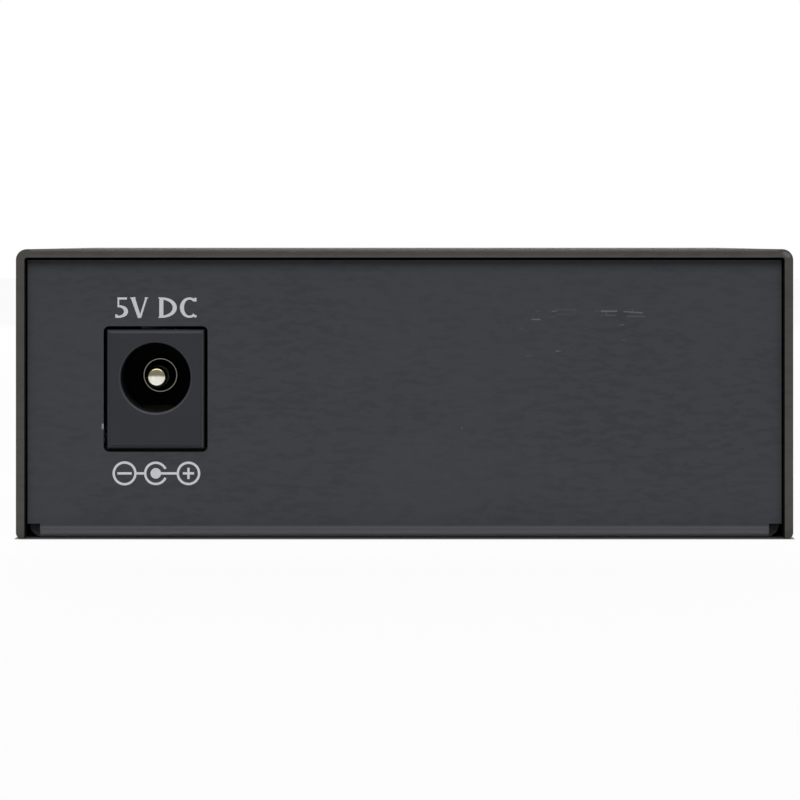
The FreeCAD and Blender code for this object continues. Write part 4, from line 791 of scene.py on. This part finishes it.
# cuts the cross for the driver into the head at the top of the shape
def cutCross(piece, top):
    span, width = screw["recessSpan"], screw["recessWidth"]
    for long, short in ((span, width), (width, span)):
        bpy.ops.mesh.primitive_cube_add(size=1, location=(0, 0, top))
        cutter = bpy.context.object
        cutter.scale = (long, short, 2 * screw["recessDepth"])
        cutAway(piece, cutter)


def buildCoverScrews():
    low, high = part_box("cover_screws")
    head, shank = (high.z - low.z) / 2 / mm, screw["shankRadius"]
    tip, chamfer = -screw["flatLength"], screw["chamfer"]
    profile = [(0, tip), (shank - chamfer, tip), (shank, tip + chamfer), (shank, shank - head)]
    profile += [(head, -0.05), (head - 0.04, 0), (0, 0)]
    piece = turned("coverScrews", profile, (0, 0, 0), (0, 0, 1), "plated_screw", 40)
    cutCross(piece, 0)
    piece.data.transform(Matrix.Rotation(math.pi / 2, 4, "Y"))
    applyTree(
        piece,
        trees["corners"],
        "plated_screw",
        Width=2 * (cadHigh.x - screw["sink"]),
        Length=2 * (cadHigh.y - case["screwInset"]),
        Centre=(0, 0, (low.z + high.z) / 2),
        Turned=math.pi,
    )
    smoothFaces(piece)
    seat(piece, "cover_screws")


def buildBoardScrews():
    low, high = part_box("board_screws")
    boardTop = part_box("circuit_board")[1].z
    rise, radius, shank = screw["panRise"], screw["panRadius"], screw["shankRadius"]
    tip, dome = -screw["boardLength"], screw["domeRound"]
    profile = [(0, tip), (shank, tip), (shank, 0), (radius, 0)]
    profile += list(arcPoints((radius - dome, rise - dome), dome, 0, 90, 8)) + [(0, rise)]
    piece = turned("boardScrews", profile, (0, 0, 0), (0, 0, 1), "zinc_screw", 40)
    cutCross(piece, rise * mm)
    applyTree(
        piece,
        trees["row"],
        "zinc_screw",
        Count=2,
        Step=(high.x - low.x - 2 * radius * mm, 0, 0),
        Start=(low.x + radius * mm, (low.y + high.y) / 2, boardTop),
    )
    smoothFaces(piece)
    seat(piece, "board_screws")


buildCoverScrews()
buildBoardScrews()
roundedCopy("boardStandoffs", "board_standoffs", "brass_standoff", screw["standoffEdge"])
print("screws and standoffs made")


# Power jack
jack = {
    "edge": 0.07 * mm,
    "springEdge": 0.04 * mm,
    "pinRadius": 1.0,
    "pinInset": 1.8,
    "tipRound": 0.42,
    "rimInset": 0.17,
    "shoulderRadius": 1.7,
    "shoulderFront": 8.7,
    "boreDepth": 9.6,
    "shankRadius": 0.8,
}


def buildJackPin():
    radius, shoulder, shank = jack["pinRadius"], jack["shoulderRadius"], jack["shankRadius"]
    front, step, base, bulge = jack["pinInset"], jack["shoulderFront"], jack["boreDepth"], jack["tipRound"]
    flat, rim, end = radius - bulge, shoulder - jack["rimInset"], (pinHigh.y - jackFace) / mm
    profile = [(0, front), (flat * 0.6, front + 0.03)]
    profile += [(flat + x, front + 0.06 + bulge - y) for x, y in arcPoints((0, 0), bulge, 90, 0, 10)]
    # the shoulder carries a narrow raised ring
    profile += [(radius, step + 0.3), (rim - 0.08, step + 0.05), (rim - 0.03, step), (rim + 0.04, step)]
    profile += [(rim + 0.11, step + 0.07), (shoulder, step + 0.2), (shoulder, base), (shank, base)]
    profile += [(shank, end), (0, end)]
    centre = ((pinLow.x + pinHigh.x) / 2, jackFace, jackAxis)
    piece = turned("jackPin", profile, centre, (0, 1, 0), "pin_plate", 64)
    seat(piece, "power_jack_pin")


roundedCopy("jackBody", "power_jack_body", "jack_plastic", jack["edge"], 3)
buildJackPin()
# the spring and switch contact take the painted shade colour
roundedCopy("jackSpring", "power_jack_sleeve_spring", "dark_contact", jack["springEdge"])
roundedCopy("jackSwitch", "power_jack_switch_terminal", "dark_contact", jack["springEdge"])
print("power jack made")


# Moulded and pressed pieces that keep their solids' shapes: the node, and how far its edges are rounded
softened = {
    "shieldShell": ("rj45_shield", 0.06 * mm),
    "socketInsert": ("rj45_insert", 0.06 * mm),
    "fibreHousing": ("fibre_housing", 0.12 * mm),
    "fibreLid": ("fibre_module_lid", 0.05 * mm),
    "clipReceive": ("rx_latch_clip", 0.06 * mm),
    "clipTransmit": ("tx_latch_clip", 0.06 * mm),
    "lightHolder": ("led_holder", 0.1 * mm),
    "lightPower": ("power_led", 0.08 * mm),
    "lightFibre": ("fibre_link_led", 0.08 * mm),
    "lightCopper": ("copper_link_led", 0.08 * mm),
    "lightSpeed": ("speed_led", 0.08 * mm),
    "switchBody": ("dip_switch_body", 0.06 * mm),
    "chipMain": ("converter_chip", 0.04 * mm),
    "chipMemory": ("memory_chip", 0.03 * mm),
    "transformer": ("isolation_transformer", 0.03 * mm),
    "regulator": ("voltage_regulator", 0.03 * mm),
    "crystalCan": ("crystal", 0.06 * mm),
    "inductor": ("power_inductor", 0.12 * mm),
    "fuse": ("input_fuse", 0.05 * mm),
    "capacitorIn": ("input_capacitor", 0.25 * mm),
    "capacitorOut": ("output_capacitor", 0.25 * mm),
}
for name, (node, size) in softened.items():
    roundedCopy(name, node, slotOf[node], size)
knobEdge = 0.08 * mm
for number in range(1, 5):
    node, body = "dip_slider_%d" % number, "slider_%d" % number
    roundedCopy("switchKnob%d" % number, node, "white_plastic", knobEdge, body=body)
for node, thing in nodes.items():
    thing.data.materials.clear()
    thing.data.materials.append(looks[slotOf[node]])
print("board parts made")


# the board's cut edges are bare laminate, coloured darker than bare laminate as painted shade where they
# show through the jack window's gap
def buildBoard():
    piece = wholeCopy("boardLaminate", "circuit_board", "board_laminate")
    piece.data.materials.append(looks["board_edge"])
    for face in piece.data.polygons:
        face.material_index = 0 if abs(face.normal.z) > 0.5 else 1
    seat(piece, "circuit_board")


buildBoard()


# a can's sleeve covers its side and its rim, and its top disc is bare metal
for name in ("capacitorIn", "capacitorOut"):
    can = bpy.data.objects[name].data
    can.materials.append(looks["can_sleeve"])
    for face in can.polygons:
        face.material_index = 0 if face.normal.z > 0.9 else 1


# Contacts of the copper socket: the first one, rounded and set in a row
contact = {"count": 8, "width": 0.4 * mm, "edge": 0.07 * mm}


def buildContacts():
    node, count, width = "rj45_contacts", contact["count"], contact["width"]
    low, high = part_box(node)
    shape = bmesh.new()
    shape.from_mesh(nodes[node].data)
    others = [v for v in shape.verts if v.co.x > low.x + width * 1.2]
    bmesh.ops.delete(shape, geom=others, context="VERTS")
    bmesh.ops.remove_doubles(shape, verts=shape.verts, dist=2e-6)
    bmesh.ops.dissolve_limit(shape, angle_limit=0.01, verts=shape.verts, edges=shape.edges)
    piece = newPiece("socketContacts", shape, "gold_contact")
    roundEdges(piece, contact["edge"], 2)
    pitch = (high.x - low.x - width) / (count - 1)
    applyTree(piece, trees["row"], "gold_contact", Count=count, Step=(pitch, 0, 0), Start=(0, 0, 0))
    smoothFaces(piece)
    seat(piece, node)


buildContacts()
print("contacts made")


# Print on the power panel and the port panel
ink = {
    "thickness": 0.012 * mm,
    "sunk": 0.004 * mm,
    "base": 20.27 * mm,
    "height": 1.88 * mm,
    "thick": 0.38 * mm,
    "thin": 0.20 * mm,
    "serif": 0.09 * mm,
    "symbolLevel": 5.93 * mm,
    "symbolLeft": -25.81 * mm,
    "symbolMiddle": -22.93 * mm,
    "symbolRight": -19.92 * mm,
    "minusRadius": 1.11 * mm,
    "ringRadius": 1.09 * mm,
    "ringStroke": 0.22 * mm,
    "dotRadius": 0.49 * mm,
    "barHalf": 0.66 * mm,
    "crossHalf": 0.52 * mm,
    "crossStroke": 0.22 * mm,
    "openAngle": 25,
}
# left and right end of each letter of the rating
letterSpans = {
    "five": (-26.66 * mm, -25.49 * mm),
    "vee": (-25.30 * mm, -23.63 * mm),
    "dee": (-22.70 * mm, -20.99 * mm),
    "cee": (-20.71 * mm, -19.18 * mm),
}


# joins strokes that overlap into one flat region
def joinedStrokes(shape):
    shape.verts.index_update()
    points = [Vector((v.co.x / mm, v.co.z / mm)) for v in shape.verts]
    faces = []
    for face in shape.faces:
        loop = [v.index for v in face.verts]
        area = sum(points[a].cross(points[b]) for a, b in zip(loop, loop[1:] + loop[:1]))
        faces.append(loop if area > 0 else loop[::-1])
    shape.free()
    found = geometry.delaunay_2d_cdt(points, [], faces, 1, 1e-5)
    flat = bmesh.new()
    corners = [flat.verts.new((x * mm, 0, z * mm)) for x, z in found[0]]
    for triangle, strokes in zip(found[2], found[5]):
        if strokes:
            flat.faces.new([corners[i] for i in triangle])
    bmesh.ops.delete(flat, geom=[v for v in flat.verts if not v.link_faces], context="VERTS")
    return flat


# raises flat faces drawn on x and z into a thin closed layer on the panel whose face is at y
def inkLayer(name, shape, front, facing):
    shape = joinedStrokes(shape)
    flat = list(shape.faces)
    grown = bmesh.ops.extrude_face_region(shape, geom=flat, use_keep_orig=True)
    moved = [item for item in grown["geom"] if isinstance(item, bmesh.types.BMVert)]
    bmesh.ops.translate(shape, verts=moved, vec=(0, facing * ink["thickness"], 0))
    bmesh.ops.translate(shape, verts=shape.verts, vec=(0, front - facing * ink["sunk"], 0))
    bmesh.ops.recalc_face_normals(shape, faces=shape.faces)
    piece = newPiece(name, shape, "ink")
    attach(piece, "root")


def addRing(shape, across, level, radius, stroke, start=0, end=360, steps=48):
    outer, inner = (
        [shape.verts.new((x, 0, z)) for x, z in arcPoints((across, level), reach, start, end, steps)]
        for reach in (radius, radius - stroke)
    )
    for i in range(steps):
        shape.faces.new((outer[i], outer[i + 1], inner[i + 1], inner[i]))
    bmesh.ops.remove_doubles(shape, verts=outer + inner, dist=1e-7)


def addDisc(shape, across, level, radius, steps=40):
    points = list(arcPoints((across, level), radius, 0, 360, steps))[:-1]
    shape.faces.new([shape.verts.new((x, 0, z)) for x, z in points])


def addBar(shape, left, right, low, high):
    corners = ((left, low), (right, low), (right, high), (left, high))
    shape.faces.new([shape.verts.new((x, 0, z)) for x, z in corners])


# centre-positive sign: minus in a ring, an open ring round a dot, plus in a ring
def buildPolarity(front):
    shape = bmesh.new()
    level, radius, stroke = ink["symbolLevel"], ink["ringRadius"], ink["ringStroke"]
    wide, half = ink["minusRadius"], ink["crossStroke"] / 2
    left, middle, right = ink["symbolLeft"], ink["symbolMiddle"], ink["symbolRight"]
    addRing(shape, left, level, wide, stroke)
    addRing(shape, right, level, radius, stroke)
    addRing(shape, middle, level, radius, stroke, ink["openAngle"], 360 - ink["openAngle"])
    addDisc(shape, middle, level, ink["dotRadius"])
    addBar(shape, left - ink["barHalf"], left + ink["barHalf"], level - half, level + half)
    addBar(shape, left + wide, middle - radius, level - half, level + half)
    addBar(shape, middle + ink["dotRadius"], right - radius, level - half, level + half)
    cross = ink["crossHalf"]
    addBar(shape, right - cross, right + cross, level - half, level + half)
    addBar(shape, right - half, right + half, level + half, level + cross)
    addBar(shape, right - half, right + half, level - cross, level - half)
    inkLayer("polaritySign", shape, front, -1)


# a stroke along points, as thick across as the number given with each point
def addStroke(shape, points):
    pairs = []
    for i, (x, z, thickness) in enumerate(points):
        before, after = points[max(i - 1, 0)], points[min(i + 1, len(points) - 1)]
        along = Vector((after[0] - before[0], after[1] - before[1])).normalized()
        side = Vector((-along.y, along.x)) * thickness / 2
        pairs.append([shape.verts.new((x + k * side.x, 0, z + k * side.y)) for k in (1, -1)])
    for first, second in zip(pairs, pairs[1:]):
        shape.faces.new((first[0], second[0], second[1], first[1]))


# points of an oval arc whose stroke is thick where it runs upright and thin where it lies flat
def ovalStroke(centre, width, height, start, end, steps=28):
    thick, thin = ink["thick"], ink["thin"]
    for x, z in arcPoints((0, 0), 1, start, end, steps):
        across, level = centre[0] + x * (width - thick) / 2, centre[1] + z * (height - thin) / 2
        yield across, level, thin + (thick - thin) * x * x


# the rating in upright letters with thick and thin strokes and small serifs
def buildRating(front):
    shape = bmesh.new()
    base, height, thick, thin, serif = ink["base"], ink["height"], ink["thick"], ink["thin"], ink["serif"]
    top, middle = base + height, base + height / 2
    left, right = letterSpans["five"]
    stem, bowl = left + 0.2 * mm, 0.62 * height
    addBar(shape, stem, right - 0.1 * mm, top - thin, top)
    addBar(shape, stem, stem + thin * 0.8, base + bowl - thin, top - thin)
    reach = right - left - 0.3 * mm
    addStroke(shape, list(ovalStroke((left + 0.3 * mm, base + bowl / 2), 2 * reach, bowl, 88, -90)))
    addBar(shape, left, left + 0.3 * mm, base, base + thin)
    addBar(shape, left, left + thin, base + thin, base + 1.6 * thin)
    left, right = letterSpans["vee"]
    foot = (left + right) / 2 + 0.04 * mm
    addStroke(shape, [(left + thick * 0.65, top, thick), (foot, base, thick * 0.8)])
    addStroke(shape, [(right - thin * 0.8, top, thin * 0.9), (foot + 0.05 * mm, base, thin * 0.9)])
    addBar(shape, left, left + thick * 1.35, top - serif, top)
    addBar(shape, right - thin * 1.6, right, top - serif, top)
    left, right = letterSpans["dee"]
    addBar(shape, left + serif, left + serif + thick, base, top)
    addBar(shape, left, left + serif, base, base + serif)
    addBar(shape, left, left + serif, top - serif, top)
    reach = right - left - serif - thick / 2
    addStroke(shape, list(ovalStroke((left + serif + thick / 2, middle), 2 * reach, height, 90, -90)))
    left, right = letterSpans["cee"]
    width = (right - left) * 1.16
    addStroke(shape, list(ovalStroke((left + width / 2, middle), width, height, 50, 310)))
    addBar(shape, right - thin, right, top - 1.9 * thin, top - 0.2 * thin)
    addBar(shape, right - thin, right, base + 0.2 * thin, base + 1.3 * thin)
    inkLayer("ratingWords", shape, front, -1)


# letters fitted to a box on the port panel; left is where they start, as read from the port side
def buildWords(name, words, left, base, width, height):
    curve = bpy.data.curves.new(name, "FONT")
    curve.body = words
    curve.offset = 0.012
    curve.resolution_u = 6
    holder = newObject(name + "Curve", curve)
    bpy.context.view_layer.update()
    mesh = bpy.data.meshes.new_from_object(holder.evaluated_get(bpy.context.evaluated_depsgraph_get()))
    bpy.data.objects.remove(holder)
    shape = bmesh.new()
    shape.from_mesh(mesh)
    bmesh.ops.remove_doubles(shape, verts=shape.verts, dist=1e-4)
    xs = [v.co.x for v in shape.verts]
    ys = [v.co.y for v in shape.verts]
    for vertex in shape.verts:
        across = (vertex.co.x - min(xs)) / (max(xs) - min(xs)) * width
        up = (vertex.co.y - min(ys)) / (max(ys) - min(ys)) * height
        vertex.co = (left - across, 0, base + up)
    inkLayer(name, shape, panelHigh.y, 1)


portInk = {
    "socketSize": (2.4 * mm, 1.5 * mm),
    "socketRise": 1.2 * mm,
    "numberWidths": (0.26 * mm, 1.05 * mm, 1.05 * mm, 1.05 * mm),
    "numberHeight": 1.3 * mm,
    "numberDrop": 3.2 * mm,
    "onWidth": 2.6 * mm,
    "onRise": 3.0 * mm,
}


# words centred over or under a node
def buildPortWord(name, words, node, base, width, height):
    low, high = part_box(node)
    buildWords(name, words, (low.x + high.x + width) / 2, base, width, height)


def buildPortWords():
    base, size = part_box("fibre_housing")[1].z + portInk["socketRise"], portInk["socketSize"]
    buildPortWord("transmitWords", "TX", "tx_latch_clip", base, *size)
    buildPortWord("receiveWords", "RX", "rx_latch_clip", base, *size)
    low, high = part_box("dip_slider_1")
    base, tall = low.z - portInk["numberDrop"], portInk["numberHeight"]
    for number, wide in enumerate(portInk["numberWidths"], 1):
        node = "dip_slider_%d" % number
        buildPortWord("switchNumber%d" % number, str(number), node, base, wide, tall)
    buildPortWord("switchOn", "ON", "dip_switch_body", high.z + portInk["onRise"], portInk["onWidth"], tall)


panelLow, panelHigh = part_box("base_tray")
buildRating(panelLow.y)
buildPolarity(panelLow.y)
buildPortWords()
print("print made")


# Studio
studio = {
    "distance": 430 * mm,
    "sensor": 36.0,
    "viewWidth": 73.57 * mm,
    "cameraRise": 0.7 * mm,
    "shiftX": -0.0057,
    "shiftY": -0.0078,
    "floorRadius": 3.0,
    "worldLight": 0.06,
    "overhead": 1.6,
    "front": 8.0,
    "rear": 6.0,
    "floorTones": (srgb(230, 230, 230), srgb(236, 236, 236)),
    "floorFar": srgb(160, 160, 160),
    "floorContactShadow": srgb(60, 60, 60),
    "floorGlow": 0.95,
    "paleReach": 40 * mm,
    "shadowStart": 0.2 * mm,
    "shadowReach": 2.2 * mm,
}


# 1 for the rays that show the background itself, and 0 for those that light the object
def showsWhite(net):
    rays = net.add("ShaderNodeLightPath").outputs
    bent = net.calc("MAXIMUM", rays["Is Glossy Ray"], rays["Is Transmission Ray"])
    return net.calc("MAXIMUM", rays["Is Camera Ray"], bent)


def buildWorld():
    world = bpy.data.worlds.new("studioWorld")
    bpy.context.scene.world = world
    world.use_nodes = True
    net = Net(world.node_tree)
    choose = net.add("ShaderNodeMixShader")
    net.join(showsWhite(net), choose.inputs[0])
    for place, strength in ((1, studio["worldLight"]), (2, 1)):
        light = net.fill(net.add("ShaderNodeBackground"), Color=(1, 1, 1, 1), Strength=strength)
        net.join(light.outputs[0], choose.inputs[place])
    net.join(choose.outputs[0], net.add("ShaderNodeOutputWorld").inputs["Surface"])


# the floor is painted darker where the object stands on it, as a painted contact shadow, and turns less pale
# far from it
def buildFloor():
    mesh = bpy.data.meshes.new("floor")
    shape = bmesh.new()
    bmesh.ops.create_circle(shape, cap_ends=True, radius=studio["floorRadius"], segments=64)
    bmesh.ops.translate(shape, verts=shape.verts, vec=(0, 0, -0.02 * mm))
    shape.to_mesh(mesh)
    shape.free()
    finish = Finish("paleFloor")
    pale = finish.mix(finish.noise(60 * mm, 2, 0.5), *studio["floorTones"])
    glow = finish.fill(finish.add("ShaderNodeEmission"), Strength=1)
    choose = finish.add("ShaderNodeMixShader")
    beyond = finish.vector("SUBTRACT", finish.vector("ABSOLUTE", finish.place), (cadHigh.x, cadHigh.y, 1))
    beyond = finish.vector("MAXIMUM", beyond, (0, 0, 0))
    distance = finish.vector("LENGTH", beyond, result="Value")
    away = finish.vector("LENGTH", finish.vector("MULTIPLY", beyond, (10, 1, 1)), result="Value")
    far = finish.span(distance, studio["paleReach"] / 4, studio["paleReach"])
    pale = finish.mix(far, pale, studio["floorFar"])
    # painted contact shadow: the floor's colour runs to the dark contact colour close to the object
    clear = finish.span(away, studio["shadowStart"], studio["shadowReach"])
    finish.surface(Base_Color=finish.mix(clear, studio["floorContactShadow"], pale), Roughness=0.7)
    glowing = finish.calc("MULTIPLY", clear, studio["floorGlow"])
    share = finish.calc("MULTIPLY", showsWhite(finish), glowing)
    finish.join(share, choose.inputs[0])
    finish.join(finish.shader.outputs[0], choose.inputs[1])
    finish.join(glow.outputs[0], choose.inputs[2])
    finish.join(choose.outputs[0], finish.output.inputs["Surface"])
    mesh.materials.append(finish.material)
    newObject("floor", mesh)


def addLamp(name, place, target, size, power):
    light = bpy.data.lights.new(name, "AREA")
    light.shape = "RECTANGLE"
    light.size, light.size_y = size
    light.energy = power
    lamp = newObject(name, light)
    lamp.location = place
    lamp.rotation_euler = (Vector(target) - Vector(place)).to_track_quat("-Z", "Y").to_euler()


def buildCamera():
    data = bpy.data.cameras.new("camera")
    data.sensor_width = studio["sensor"]
    data.lens = studio["sensor"] * studio["distance"] / studio["viewWidth"]
    data.shift_x, data.shift_y = studio["shiftX"], studio["shiftY"]
    data.clip_start, data.clip_end = 10 * mm, 20
    camera = newObject("camera", data)
    level = cadHigh.z + studio["cameraRise"]
    data.shift_y -= (level - cadHigh.z / 2) / studio["viewWidth"]
    camera.location = (0, cadLow.y - studio["distance"], level)
    camera.rotation_euler = (math.pi / 2, 0, 0)
    bpy.context.scene.camera = camera


buildWorld()
buildFloor()
middle = (0, 0, cadHigh.z / 2)
addLamp("overheadSoftbox", (0, 0, 0.7), middle, (0.9, 0.6), studio["overhead"])
addLamp("frontSoftbox", (0, -0.8, 0.7), middle, (1.0, 0.5), studio["front"])
addLamp("rearSoftbox", (0, 1.0, 0.3), middle, (1.0, 0.5), studio["rear"])
buildCamera()
bpy.context.scene.view_settings.view_transform = "Standard"
print("studio made")
